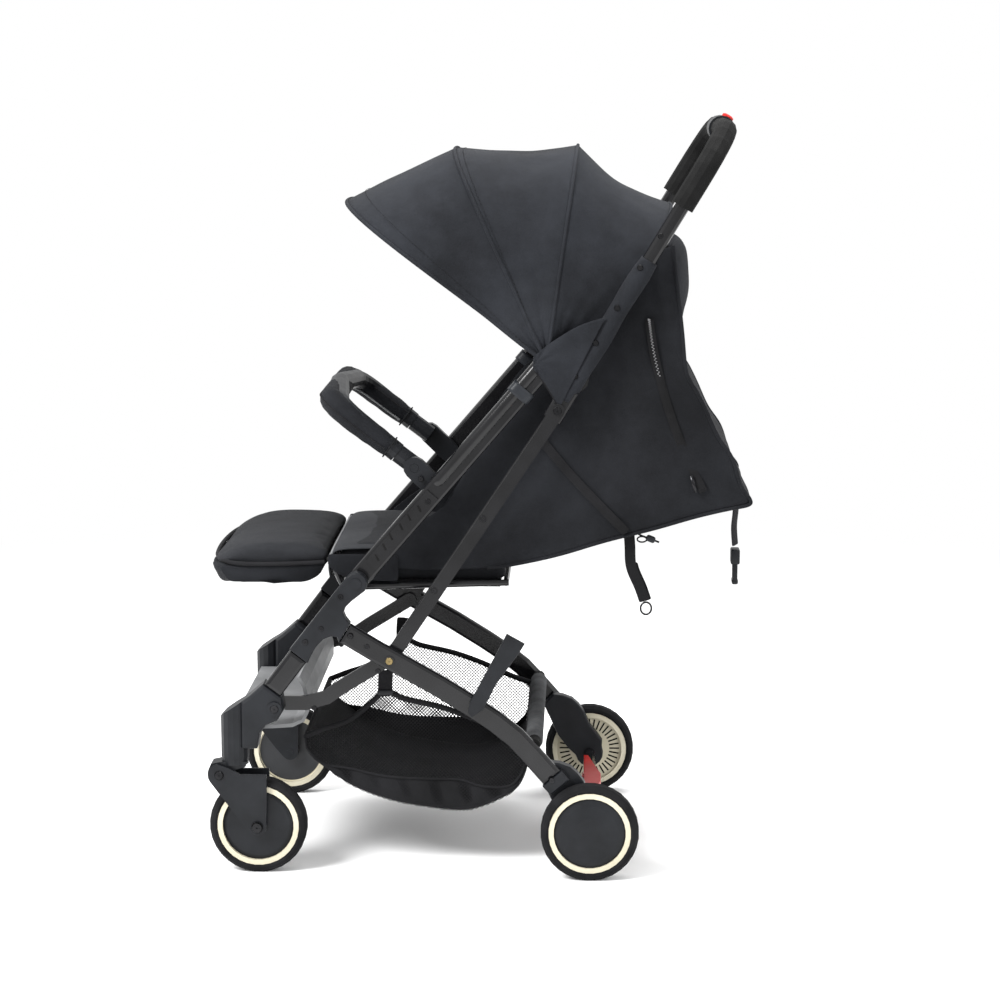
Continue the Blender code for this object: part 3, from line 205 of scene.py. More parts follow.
def ring_look(name, centre, inner, outer):
    """A moulded wheel disc: ivory in a ring about the axle, and dark plastic elsewhere."""
    made, tree, shader, place = graph(name)
    parts = tree.nodes.new("ShaderNodeSeparateXYZ")
    tree.links.new(place, parts.inputs[0])
    along = math_node(tree, "SUBTRACT", parts.outputs["X"], centre[0])
    above = math_node(tree, "SUBTRACT", parts.outputs["Z"], centre[1])
    square = math_node(
        tree, "ADD", math_node(tree, "MULTIPLY", along, along), math_node(tree, "MULTIPLY", above, above)
    )
    radius = math_node(tree, "SQRT", square, 0.0)
    ring = math_node(
        tree, "MULTIPLY", math_node(tree, "GREATER_THAN", radius, inner),
        math_node(tree, "LESS_THAN", radius, outer)
    )
    drift = noise_node(tree, place, 22.0, 4.0)
    pale = ramp_node(tree, drift, ((0.32, (0.5, 0.46, 0.34)), (0.7, (0.6, 0.56, 0.44))))
    dark = ramp_node(tree, drift, ((0.32, (0.007, 0.008, 0.01)), (0.7, (0.014, 0.015, 0.018))))
    blend = tree.nodes.new("ShaderNodeMix")
    blend.data_type = "RGBA"
    tree.links.new(ring, blend.inputs["Factor"])
    tree.links.new(dark, blend.inputs["A"])
    tree.links.new(pale, blend.inputs["B"])
    tree.links.new(blend.outputs["Result"], shader.inputs["Base Color"])
    grain = noise_node(tree, place, 65.0, 5.0)
    tree.links.new(span_node(tree, grain, 0.38, 0.52), shader.inputs["Roughness"])
    bump_node(tree, shader, ((noise_node(tree, place, 1400.0, 2.0), 0.0002, 0.15),))
    return made


LOOKS = {
    "canopy": cloth_look("canopy_cloth", (0.0066, 0.0072, 0.009), (0.0195, 0.0213, 0.026)),
    "body": cloth_look("body_cloth", (0.0046, 0.005, 0.0063), (0.0135, 0.0145, 0.0174)),
    "seat": cloth_look("seat_cloth", (0.009, 0.0095, 0.011), (0.02, 0.021, 0.024), 900.0),
    "grey_seat": cloth_look("grey_seat_cloth", (0.022, 0.023, 0.026), (0.042, 0.044, 0.048), 800.0),
    "piping": cloth_look("piping_cloth", (0.17, 0.175, 0.18), (0.28, 0.285, 0.29), 1500.0, crease=0.05),
    "webbing": cloth_look("webbing", (0.0045, 0.0045, 0.005), (0.012, 0.012, 0.0135), 700.0, crease=0.05),
    "tube": moulded_look(
        "satin_black_paint", (0.004, 0.004, 0.0045), (0.008, 0.008, 0.009), (0.14, 0.22), 1800.0, 0.05,
        polish=0.32,
    ),
    "plastic": moulded_look("dark_plastic", (0.0048, 0.0054, 0.0068), (0.011, 0.0122, 0.0148), (0.34, 0.48)),
    "slate": moulded_look("slate_plastic", (0.012, 0.0135, 0.0165), (0.026, 0.029, 0.034), (0.34, 0.48)),
    "grey_plastic": moulded_look("grey_plastic", (0.155, 0.158, 0.162), (0.21, 0.213, 0.218), (0.42, 0.55)),
    "ivory": moulded_look("ivory_plastic", (0.5, 0.46, 0.34), (0.6, 0.56, 0.44), (0.38, 0.52), 900.0, 0.12),
    "red": moulded_look("red_plastic", (0.36, 0.008, 0.005), (0.46, 0.013, 0.009), (0.25, 0.4), 900.0, 0.1),
    "tyre": foam_look("tyre_rubber", (0.005, 0.005, 0.0055), (0.012, 0.012, 0.013)),
    "foam": foam_look("grip_foam", (0.0045, 0.0045, 0.0045), (0.0105, 0.0105, 0.0105)),
    "rib_foam": foam_look("crossbar_foam", (0.045, 0.046, 0.048), (0.085, 0.087, 0.09)),
    "steel": moulded_look("steel", (0.3, 0.3, 0.31), (0.45, 0.45, 0.46), (0.25, 0.4), 2200.0, 0.2, 1.0),
    "dark_steel": moulded_look(
        "dark_steel", (0.016, 0.016, 0.017), (0.034, 0.034, 0.036), (0.22, 0.34), 2200.0, 0.1, 1.0
    ),
    "brass": moulded_look("brass", (0.2, 0.15, 0.07), (0.3, 0.23, 0.11), (0.22, 0.34), 2200.0, 0.1, 1.0),
    "front_ring": ring_look("front_wheel_disc", FRONT_AXLE, 0.048, 0.0572),
}


def wear(obj, look):
    """Gives an object one look, and returns it."""
    obj.data.materials.clear()
    obj.data.materials.append(LOOKS[look])
    return obj


NODE_LOOKS = {
    "tube": "tube", "steel": "tube", "plastic": "plastic", "grey_plastic": "grey_plastic", "ivory": "ivory",
    "red": "red", "tyre": "tyre", "foam": "foam", "fabric": "body", "mesh": "webbing",
}


def dress_nodes():
    """Every node of the frame gets the look of its material slot."""
    for entry in frame["record"]["subparts"]:
        shown = frame["nodes"][entry["node"]]
        wear(shown, NODE_LOOKS[entry["material_slot"]])
        shown.data.shade_smooth()
        shown.data.set_sharp_from_angle(angle=math.radians(40))
    for label, _ in SIDES:
        wear(frame["nodes"][f"front_rim_{label}"], "front_ring")
        wear(frame["nodes"][f"rear_rim_{label}"], "ivory")


# Mesh helpers


def collect(mesh, name, look, smooth=True):
    """A new object for a mesh, in its look."""
    obj = bpy.data.objects.new(name, mesh)
    bpy.context.scene.collection.objects.link(obj)
    if smooth:
        mesh.shade_smooth()
    return wear(obj, look)


def from_work(work, name, look, smooth=True):
    """A new object from a finished working mesh."""
    mesh = bpy.data.meshes.new(name)
    work.to_mesh(mesh)
    work.free()
    return collect(mesh, name, look, smooth)


def add_box(work, size, place, turn=0.0):
    """Adds a box, turned about Y, to a working mesh."""
    made = bmesh.ops.create_cube(work, size=1.0)["verts"]
    bmesh.ops.scale(work, vec=size, verts=made)
    bmesh.ops.rotate(work, matrix=Matrix.Rotation(turn, 3, "Y"), verts=made)
    bmesh.ops.translate(work, vec=place, verts=made)


def subdivide(obj, levels=1):
    """Adds a modifier that divides the mesh and rounds it."""
    smooth = obj.modifiers.new("smooth", "SUBSURF")
    smooth.levels = levels
    smooth.render_levels = levels


def plain(obj):
    """Applies an object's modifiers, and returns the same object with the result as its mesh."""
    bpy.context.view_layer.update()
    view = obj.evaluated_get(bpy.context.evaluated_depsgraph_get())
    mesh = bpy.data.meshes.new_from_object(view)
    if obj.type == "MESH":
        obj.modifiers.clear()
        obj.data = mesh
        return obj
    made = bpy.data.objects.new(obj.name, mesh)
    name = obj.name
    made.matrix_world = obj.matrix_world
    bpy.context.scene.collection.objects.link(made)
    bpy.data.objects.remove(obj)
    made.name = name
    return made


def sheet(name, rows, look, thickness=0.0, levels=1, cyclic=False):
    """A smooth sheet through rows of points, thickened inwards where a thickness is given."""
    count = len(rows[0])
    points = [tuple(point) for row in rows for point in row]
    faces = []
    for r in range(len(rows) - 1):
        for c in range(count if cyclic else count - 1):
            d = (c + 1) % count
            faces.append((r * count + c, r * count + d, (r + 1) * count + d, (r + 1) * count + c))
    mesh = bpy.data.meshes.new(name)
    mesh.from_pydata(points, [], faces)
    obj = collect(mesh, name, look)
    if levels:
        subdivide(obj, levels)
    if thickness:
        wall = obj.modifiers.new("wall", "SOLIDIFY")
        wall.thickness = thickness
        wall.offset = 0.0
    made = plain(obj)
    made.data.shade_smooth()
    return made


def tube(name, points, radius, look, cyclic=False, sides=3, smooth=True, radii=None):
    """A round cord, hem or wire along points."""
    data = bpy.data.curves.new(name, "CURVE")
    data.dimensions = "3D"
    data.bevel_depth = radius
    data.bevel_resolution = sides
    data.use_fill_caps = True
    data.resolution_u = 6
    kind = "NURBS" if smooth else "POLY"
    spline = data.splines.new(kind)
    spline.points.add(len(points) - 1)
    for k, (point, place) in enumerate(zip(spline.points, points)):
        point.co = (*place, 1)
        point.radius = radii[k] if radii else 1.0
    spline.use_cyclic_u = cyclic
    if smooth:
        spline.order_u = 4
        spline.use_endpoint_u = not cyclic
    obj = bpy.data.objects.new(name, data)
    bpy.context.scene.collection.objects.link(obj)
    made = plain(obj)
    made.data.shade_smooth()
    return wear(made, look)


def curve_points(points, count):
    """Evenly shared points of a Catmull-Rom curve through the given points."""
    points = [Vector(point) for point in points]
    made = []
    spans = len(points) - 1
    for k in range(count + 1):
        share = k / count * spans
        i = min(int(share), spans - 1)
        t = share - i
        p0 = points[max(i - 1, 0)]
        p1 = points[i]
        p2 = points[i + 1]
        p3 = points[min(i + 2, spans)]
        made.append(
            0.5 * (
                2 * p1 + (p2 - p0) * t + (2 * p0 - 5 * p1 + 4 * p2 - p3) * t * t
                + (3 * p1 - p0 - 3 * p2 + p3) * t * t * t
            )
        )
    return made


def strap(name, points, across, width, thickness, look, levels=1):
    """A flat band along points; `across` is the direction of its width."""
    across = Vector(across).normalized()
    rows = []
    for k, point in enumerate(points):
        before = Vector(points[max(k - 1, 0)])
        after = Vector(points[min(k + 1, len(points) - 1)])
        along = (after - before).normalized()
        side = (across - along * across.dot(along)).normalized()
        up = along.cross(side)
        half = side * width / 2
        lift = up * thickness / 2
        point = Vector(point)
        rows.append(
            [
                point - half - lift * 0.4, point - half * 0.92 - lift, point + half * 0.92 - lift,
                point + half - lift * 0.4, point + half + lift * 0.4, point + half * 0.92 + lift,
                point - half * 0.92 + lift, point - half + lift * 0.4,
            ]
        )
    return close_ends(sheet(name, rows, look, levels=0, cyclic=True), levels)


def close_ends(obj, levels=0):
    """Caps the open ends of a tube-like mesh, and smooths it."""
    work = bmesh.new()
    work.from_mesh(obj.data)
    rims = [edge for edge in work.edges if edge.is_boundary]
    if rims:
        bmesh.ops.holes_fill(work, edges=rims)
    bmesh.ops.recalc_face_normals(work, faces=work.faces)
    work.to_mesh(obj.data)
    work.free()
    if levels:
        subdivide(obj, levels)
        obj = plain(obj)
    obj.data.shade_smooth()
    return obj


def closed_form(name, rows, look):
    """A closed smooth form through rings of points, capped at both ends."""
    return close_ends(sheet(name, rows, look, levels=0, cyclic=True))


def side_point(place, y):
    """The point at a place in side view, y from the middle plane."""
    return Vector((place[0], y, place[1]))


def side_curve(outline, count, y=0.0):
    """The curve through places in side view, in the plane at y."""
    return curve_points([side_point(place, y) for place in outline], count)


def step_from(point, angle, distance, across=0.0):
    """The place in side view that lies this far from a point along an angle, and across it."""
    turn = math.radians(angle)
    return (
        point[0] + distance * math.cos(turn) - across * math.sin(turn),
        point[1] + distance * math.sin(turn) + across * math.cos(turn),
    )


def ripple(point, scale, strength, seed=0.0):
    """A smooth unevenness that depends only on the place."""
    return noise.noise(Vector((point[0] * scale + seed, point[1] * scale, point[2] * scale))) * strength


VOXEL = 0.005
CLOTH_PRESSURE = 4.0
CLOTH_STEPS = 20


def inflate(obj, cap):
    """Swells a padded form with a cloth simulation, no point moving further than `cap`."""
    remesh = obj.modifiers.new("remesh", "REMESH")
    remesh.mode = "VOXEL"
    remesh.voxel_size = VOXEL
    obj = plain(obj)
    start = [vert.co.copy() for vert in obj.data.vertices]
    cloth = obj.modifiers.new("cloth", "CLOTH")
    cloth.settings.use_pressure = True
    cloth.settings.uniform_pressure_force = CLOTH_PRESSURE
    cloth.settings.effector_weights.gravity = 0.0
    cloth.settings.quality = 4
    cloth.point_cache.frame_start = 1
    cloth.point_cache.frame_end = CLOTH_STEPS
    for step in range(1, CLOTH_STEPS + 1):
        bpy.context.scene.frame_set(step)
    obj = plain(obj)
    for vert, first in zip(obj.data.vertices, start):
        move = vert.co - first
        if move.length > cap:
            vert.co = first + move.normalized() * cap
    bpy.context.scene.frame_set(1)
    subdivide(obj)
    obj = plain(obj)
    obj.data.shade_smooth()
    return obj


def stud(name, place, side, radius, height, look="dark_steel", slot=False):
    """A low rivet or screw head on a side face; `slot` adds the two bars of a cross."""
    work = bmesh.new()
    made = bmesh.ops.create_cone(
        work, cap_ends=True, segments=28, radius1=radius, radius2=radius * 0.82, depth=height
    )["verts"]
    turn = Matrix.Rotation(math.radians(90 if side < 0 else -90), 4, "X")
    turn.translation = Vector(place)
    bmesh.ops.transform(work, matrix=turn, verts=made)
    if slot:
        top = Vector(place) + Vector((0, side * height * 0.55, 0))
        for angle in (20, 110):
            add_box(work, (radius * 1.1, height * 0.3, radius * 0.22), top, math.radians(angle))
    obj = from_work(work, name, look)
    obj.data.set_sharp_from_angle(angle=math.radians(30))
    return obj


# Canopy


ARCH_START = 0.012
ARCH_SIDE_STEPS = 12
ARCH_TOP_STEPS = 40
ARCH_SHOULDER = 0.45
CANOPY_STEPS = 14
CANOPY_FLARE = 0.0275
FLARE_FROM = 0.035
FLARE_FADE = 0.085


def arch(angle, reach, inset, lean, flare):
    """Points of one hoop of the canopy about the hub, drawn in by `inset` on all sides.

    `lean` turns the lower part of the hoop by up to that many degrees, least at the top. `flare`
    spreads the lowest part sideways by up to that much, over the end of the main tube.
    """
    width = CANOPY_HALF_WIDTH - inset
    top = reach - inset
    shoulder = reach * ARCH_SHOULDER
    leg = [ARCH_START + (shoulder - ARCH_START) * k / ARCH_SIDE_STEPS for k in range(ARCH_SIDE_STEPS)]
    profile = [(-width, r) for r in leg]
    for k in range(ARCH_TOP_STEPS + 1):
        sweep = math.pi * (1 - k / ARCH_TOP_STEPS)
        across = math.copysign(abs(math.cos(sweep)) ** (2 / 3), math.cos(sweep))
        rise = abs(math.sin(sweep)) ** (2 / 3)
        profile.append((width * across, shoulder + (top - shoulder) * rise))
    profile.extend((width, r) for r in reversed(leg))
    made = []
    for y, r in profile:
        turn = math.radians(angle - lean * max(0.0, 1 - r / top) ** 1.2)
        spread = flare * max(0.0, 1 - max(0.0, r - FLARE_FROM) / FLARE_FADE)
        spread = spread * spread * (3 * flare - 2 * spread) / flare ** 2 if flare else 0.0
        y = y + math.copysign(spread, y) if abs(y) > width * 0.8 else y
        made.append(Vector((HUB[0] + r * math.cos(turn), y, HUB[1] + r * math.sin(turn))))
    return made


def chord(first, last, share):
    """Reach of the straight line between two hoops' tops, at a share of the angle between them."""
    (a, ra), (b, rb) = first, last
    gap = math.radians(a - b)
    part = gap * share
    return ra * rb * math.sin(gap) / (ra * math.sin(part) + rb * math.sin(gap - part))


def canopy_rows(first, last, bulge, flare, lean=0.0):
    """Rows of points from one hoop to the next: drawn in between them, with soft puckers."""
    made = []
    for k in range(CANOPY_STEPS + 1):
        share = k / CANOPY_STEPS
        angle = first[0] + (last[0] - first[0]) * share
        reach = chord(first, last, share)
        swell = math.sin(math.pi * share)
        spread = flare[0] + (flare[1] - flare[0]) * share
        row = arch(angle, reach + bulge * swell, 0.0038 * swell, lean * share, spread)
        for c, point in enumerate(row):
            side = point.x - HUB[0]
            rise = point.z - HUB[1]
            away = Vector((side, point.y, rise)).normalized()
            pucker = ripple(point, 26.0, 0.0024) + ripple(point, 9.0, 0.0034, 7.0)
            spot = point + away * pucker * swell
            fan = math.sin(math.atan2(rise, side) * 13.0 + point.y * 3.0 + ripple(point, 12.0, 2.0, 4.0))
            close = math.exp(-math.hypot(side, rise) / 0.13)
            if abs(point.y) > CANOPY_HALF_WIDTH * 0.9:
                spot.y += math.copysign(0.0034 * fan * close * swell ** 0.5, point.y)
            row[c] = spot
        made.append(row)
    return made


def row_line(rows, share, lift):
    """A line that runs on the cloth at a share of its way between two hoops, lifted outwards."""
    place = share * (len(rows) - 1)
    low = int(place)
    part = place - low
    made = []
    for a, b in zip(rows[low], rows[low + 1]):
        spot = a.lerp(b, part)
        away = Vector((spot.x - HUB[0], spot.y * 2.0, spot.z - HUB[1])).normalized()
        made.append(spot + away * lift)
    return made


STITCH_LENGTH = 0.003
STITCH_GAP = 0.0022
STITCH_RADIUS = 0.00035
STITCH_STEP = 0.0009


def stitches(name, line):
    """Short threads along a line, as sewing leaves them."""
    line = even(line, STITCH_STEP)
    work = bmesh.new()
    run = 0.0
    for before, after in zip(line, line[1:]):
        along = after - before
        if along.length < 1e-6:
            continue
        run += along.length
        if run < STITCH_LENGTH + STITCH_GAP:
            continue
        run = 0.0
        made = bmesh.ops.create_cone(
            work, cap_ends=True, segments=6, radius1=STITCH_RADIUS, radius2=STITCH_RADIUS, depth=STITCH_LENGTH
        )["verts"]
        turn = along.to_track_quat("Z", "Y").to_matrix().to_4x4()
        turn.translation = before
        bmesh.ops.transform(work, matrix=turn, verts=made)
    return from_work(work, name, "webbing")


def even(line, step):
    """The points of a line at even distances."""
    made = [line[0]]
    for before, after in zip(line, line[1:]):
        gap = after - before
        count = max(1, int(gap.length / step))
        for k in range(count):
            made.append(before + gap * (k + 1) / count)
    return made


BLEND_REACH = 0.22


def canopy():
    """Three cloths from hoop to hoop, their seams and stitches, and the cloth round the handle's tube."""
    front = CANOPY_BOWS["front"]
    mid = CANOPY_BOWS["mid"]
    rear = CANOPY_BOWS["rear"]

    def place(bow):
        turn = math.radians(bow[0])
        return side_point(HUB, 0.0) + Vector((math.cos(turn), 0, math.sin(turn))) * BLEND_REACH

    flare = CANOPY_FLARE
    front_rows = canopy_rows(front, mid, 0.004, (flare, flare))
    top_rows = canopy_rows(mid, rear, -0.004, (flare, flare * 0.9))
    rear_rows = canopy_rows(rear, CANOPY_REAR_EDGE, -0.01, (flare * 0.9, 0.0), 34.0)
    visor = sheet("canopy_front_cloth", front_rows, "canopy", 0.0016)
    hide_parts("canopy_front")
    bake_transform(visor)
    top = sheet("canopy_top_cloth", top_rows, "canopy", 0.0016)
    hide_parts("canopy_top")
    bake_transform(top)
    back = sheet("canopy_rear_cloth", rear_rows, "canopy", 0.0016)
    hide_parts("canopy_rear")
    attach(back, "main_frame")
    for label, rows, body, radius in (
        ("front", front_rows, "canopy_tip", 0.0026), ("mid", top_rows, "canopy_mid", 0.0024),
        ("rear", rear_rows, "main_frame", 0.0024),
    ):
        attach(tube(f"canopy_seam_{label}", row_line(rows, 0.0, 0.0006), radius, "canopy", sides=4), body)
    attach(stitches("canopy_hem_stitches", row_line(front_rows, 0.16, 0.0016)), "canopy_tip")
    edge = row_line(rear_rows, 0.999, 0.0002)
    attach(tube("canopy_rear_hem", edge, 0.0022, "canopy"), "main_frame")
    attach(stitches("canopy_mid_stitches", row_line(top_rows, 0.06, 0.0014)), "canopy_mid")
    for label, side in SIDES:
        sleeve(label, side)
        gusset(label, side)


GUSSET_STEPS = 18
GUSSET_CURVE_STEPS = 26
GUSSET_CENTRE = (0.08, HUB[1])
GUSSET_Y = 0.2052
GUSSET_TOP = ((0.077, 0.722), (0.102, 0.742), (0.138, 0.764), (0.174, 0.776))
GUSSET_LOW = ((0.077, 0.705), (0.09, 0.689), (0.102, 0.67), (0.112, 0.652))


def gusset(label, side):
    """The gathered cloth that covers the end of the main tube, between the hub and the sleeve."""
    top = side_curve(GUSSET_TOP, GUSSET_CURVE_STEPS)
    low = side_curve(GUSSET_LOW, GUSSET_CURVE_STEPS)
    rows = []
    for k in range(GUSSET_STEPS + 1):
        share = k / GUSSET_STEPS
        row = []
        for c, (upper, lower) in enumerate(zip(top, low)):
            spot = upper.lerp(lower, share)
            along = spot.x - GUSSET_CENTRE[0]
            above = spot.z - GUSSET_CENTRE[1]
            fade = math.exp(-math.hypot(along, above) / 0.035)
            pleat = 0.0016 * math.sin(math.atan2(above, along) * 11.0) * fade
            crown = math.sin(math.pi * min(1.0, 0.15 + c / GUSSET_CURVE_STEPS))
            dome = 0.0018 * math.sin(math.pi * share) * crown
            row.append(Vector((spot.x, side * (GUSSET_Y + pleat + dome), spot.z)))
        rows.append(row)
    cloth = sheet(f"canopy_gusset_{label}", rows, "canopy", 0.0014)
    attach(cloth, "main_frame")
    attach(tube(f"canopy_gusset_hem_{label}", [rows[-1][0]] + rows[-1], 0.0012, "webbing"), "main_frame")


SLEEVE_FROM = 0.016
SLEEVE_TO = 0.236
SLEEVE_STEPS = 22
SLEEVE_SIDES = 28
SNAP_PLACES = ((0.052, 0.004), (0.105, 0.004), (0.16, 0.004), (0.222, 0.006))


def sleeve(label, side):
    """The cloth sleeve round the handle's tube, below the canopy's rear edge, and its snap fasteners."""
    rows = []
    for k in range(SLEEVE_STEPS + 1):
        along = SLEEVE_FROM + (SLEEVE_TO - SLEEVE_FROM) * k / SLEEVE_STEPS
        spot = step_from(LINK_PIVOT, HANDLE_ANGLE, along)
        end = min(1.0, (SLEEVE_STEPS - k) / 2.0)
        row = []
        for c in range(SLEEVE_SIDES):
            turn = math.radians(360 * c / SLEEVE_SIDES)
            pleat = 1 + 0.04 * math.sin(turn * 3 + along * 45) + ripple((along * 4, side, c * 0.2), 6.0, 0.06)
            wide = (0.013 + 0.0005 * math.sin(along * 70)) * pleat * (0.9 + 0.1 * end)
            out = 0.0118 * (0.96 + 0.04 * pleat)
            inner = 0.002 if math.sin(turn) * side < 0 else 0.0
            shift = step_from(spot, HANDLE_ANGLE, 0.0, wide * math.cos(turn))
            row.append(side_point(shift, side * HANDLE_TUBE_Y + (out + inner) * math.sin(turn)))
        rows.append(row)
    cloth = sheet(f"handle_sleeve_{label}", rows, "canopy", 0.0012, cyclic=True)
    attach(cloth, "handle")
    for k, (along, across) in enumerate(SNAP_PLACES):
        spot = side_point(step_from(LINK_PIVOT, HANDLE_ANGLE, along, across), side * (HANDLE_TUBE_Y + 0.0128))
        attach(stud(f"handle_snap_{label}_{k}", spot, side, 0.0042, 0.0016), "handle")


# Seat body behind and under the backrest

BODY_STEPS = 60
WALL_STEPS = 22
FLOOR_STEPS = 16
BODY_BACK = (
    (-0.14, 0.424), (-0.06, 0.42), (0.02, 0.424), (0.06, 0.43), (0.116, 0.443), (0.177, 0.462),
    (0.243, 0.479), (0.3, 0.496), (0.345, 0.507), (0.3735, 0.513), (0.3745, 0.522), (0.362, 0.54),
    (0.35, 0.578), (0.33, 0.607), (0.314, 0.642), (0.3, 0.67), (0.286, 0.694), (0.28, 0.75),
    (0.272, 0.815), (0.266, 0.868),
)
BODY_FRONT = (
    (-0.14, 0.452), (-0.1, 0.482), (-0.06, 0.5), (-0.036, 0.528), (-0.01, 0.57), (0.015, 0.612),
    (0.045, 0.655), (0.075, 0.684), (0.106, 0.69), (0.124, 0.708), (0.132, 0.735), (0.15, 0.765),
    (0.17, 0.79), (0.19, 0.812), (0.204, 0.828), (0.214, 0.838), (0.222, 0.845), (0.232, 0.852),
    (0.24, 0.858), (0.246, 0.864),
)
# creases of the side walls: two ends in side view, half width and depth
CREASES = (
    ((0.02, 0.64), (0.215, 0.475), 0.013, 0.005), ((0.06, 0.56), (0.225, 0.48), 0.01, -0.004),
    ((0.1, 0.69), (0.15, 0.56), 0.012, 0.0045), ((0.15, 0.74), (0.19, 0.6), 0.012, -0.0045),
    ((0.19, 0.79), (0.215, 0.66), 0.01, 0.0045), ((0.255, 0.56), (0.32, 0.515), 0.012, -0.005),
    ((0.2, 0.6), (0.3, 0.52), 0.014, 0.005), ((0.24, 0.84), (0.262, 0.76), 0.009, 0.004),
    ((0.12, 0.48), (0.23, 0.487), 0.008, -0.0035), ((0.02, 0.47), (0.09, 0.52), 0.01, 0.0035),
    ((0.17, 0.69), (0.255, 0.59), 0.01, 0.0035), ((0.275, 0.6), (0.34, 0.54), 0.008, 0.004),
)


def creased(x, z):
    """How far the side wall stands out at a place, from its creases."""
    total = 0.0
    spot = Vector((x, z))
    for start, end, width, depth in CREASES:
        first = Vector(start)
        along = Vector(end) - first
        share = max(0.0, min(1.0, (spot - first).dot(along) / along.length_squared))
        away = (spot - first - along * share).length
        fade = math.sin(math.pi * (0.12 + 0.76 * share))
        total += depth * fade * math.exp(-((away / width) ** 2))
    return total


ZIP_LINE = ((0.233, 0.77), (0.241, 0.72), (0.259, 0.653), (0.282, 0.591), (0.31, 0.533))
ZIP_TEETH = 110
ZIP_SHOWN = 40


def wall_point(fore, rear, share, bulge, side, seed):
    """A point of a side wall, at a share of its way from the wall's front edge to the back."""
    point = fore.lerp(rear, share)
    swell = math.sin(math.pi * share)
    fold = ripple((point.x, seed, point.z), 17.0, 0.0035, 3.0) + creased(point.x + 0.004 * seed, point.z)
    y = side * (SHELL_HALF_WIDTH - 0.002 + bulge * swell + fold * swell ** 0.6)
    return Vector((point.x, y, point.z))


def seat_body():
    """One cloth shell: a side wall, round the back and bottom, and the other side wall."""
    back = side_curve(BODY_BACK, BODY_STEPS)
    front = side_curve(BODY_FRONT, BODY_STEPS)
    shares = [c / WALL_STEPS for c in range(WALL_STEPS)]
    rows = []
    for k, (rear, fore) in enumerate(zip(back, front)):
        bulge = 0.004 * math.sin(math.pi * min(1.0, k / BODY_STEPS * 1.3))
        outward = rear - fore
        outward = outward.normalized() if outward.length > 0.001 else Vector((0, 0, -1))
        row = [wall_point(fore, rear, share, bulge, -1, 0.0) for share in shares]
        for c in range(FLOOR_STEPS + 1):
            across = c / FLOOR_STEPS * 2 - 1
            y = SHELL_HALF_WIDTH * math.copysign(abs(across) ** 0.9, across)
            drop = 1 - abs(across) ** 6
            sag = ripple((rear.x, y, rear.z), 15.0, 0.004, 11.0) * drop
            row.append(Vector((rear.x, y, rear.z)) + outward * (sag - 0.002 * (1 - drop)))
        row.extend(wall_point(fore, rear, share, bulge, 1, 1.0) for share in reversed(shares))
        rows.append(row)
    body = sheet("seat_body_cloth", rows, "body", 0.0018)
    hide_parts("seat_shell")
    hang(body)
    for label, side in SIDES:
        line = [Vector((p.x - 0.0012, side * (SHELL_HALF_WIDTH - 0.0012), p.z + 0.0016)) for p in back[6:]]
        hang(tube(f"body_piping_{label}", line, 0.0026, "body"))
    for label, side in SIDES:
        line = side_curve(ZIP_LINE, 24, side * (SHELL_HALF_WIDTH + 0.003))
        hang(strap(f"body_zip_{label}", line, (1, 0, 0.3), 0.012, 0.0012, "webbing", 0))
        hang(zip_teeth(f"body_zip_teeth_{label}", line, side))
        tab = [
            side_point((0.2925, 0.556), side * (SHELL_HALF_WIDTH + 0.006)),
            side_point((0.299, 0.533), side * (SHELL_HALF_WIDTH + 0.0062)),
        ]
        hang(strap(f"body_zip_puller_{label}", tab, (1, 0, 0.3), 0.0045, 0.0016, "dark_steel", 0))
    body_straps()


def hang(piece):
    """Something that hangs from the seat body, and goes with it."""
    fold_away(piece)
    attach(piece, "main_frame")


def ring(name, centre, radius, wire_radius, look, axis="Y", stretch=1.0):
    """A closed wire ring in a plane across the given axis."""
    line = []
    for c in range(28):
        turn = math.radians(360 * c / 28)
        a = radius * math.cos(turn)
        b = radius * stretch * math.sin(turn)
        line.append(Vector(centre) + (Vector((a, 0, b)) if axis == "Y" else Vector((0, a, b))))
    return tube(name, line, wire_radius, look, cyclic=True, smooth=False)


def block(name, centre, size, look, bevel, turn=0.0):
    """A small block with rounded edges, turned about Y."""
    work = bmesh.new()
    add_box(work, size, centre, turn)
    obj = from_work(work, name, look, smooth=False)
    rounding = obj.modifiers.new("rounding", "BEVEL")
    rounding.width = bevel
    rounding.segments = 3
    obj = plain(obj)
    obj.data.shade_smooth()
    obj.data.set_sharp_from_angle(angle=math.radians(35))
    return obj


D_RING_Y = -0.15
D_RING_STRAP = ((0.208, 0.48), (0.21, 0.455), (0.212, 0.425), (0.224, 0.396), (0.231, 0.376))
REAR_STRAP = ((0.363, 0.503), (0.364, 0.48), (0.362, 0.455), (0.364, 0.428))
FLAP_SPINE = ((0.252, 0.879), (0.27, 0.872), (0.286, 0.86), (0.289, 0.82), (0.288, 0.79), (0.281, 0.756))
FLAP_STEPS = 14


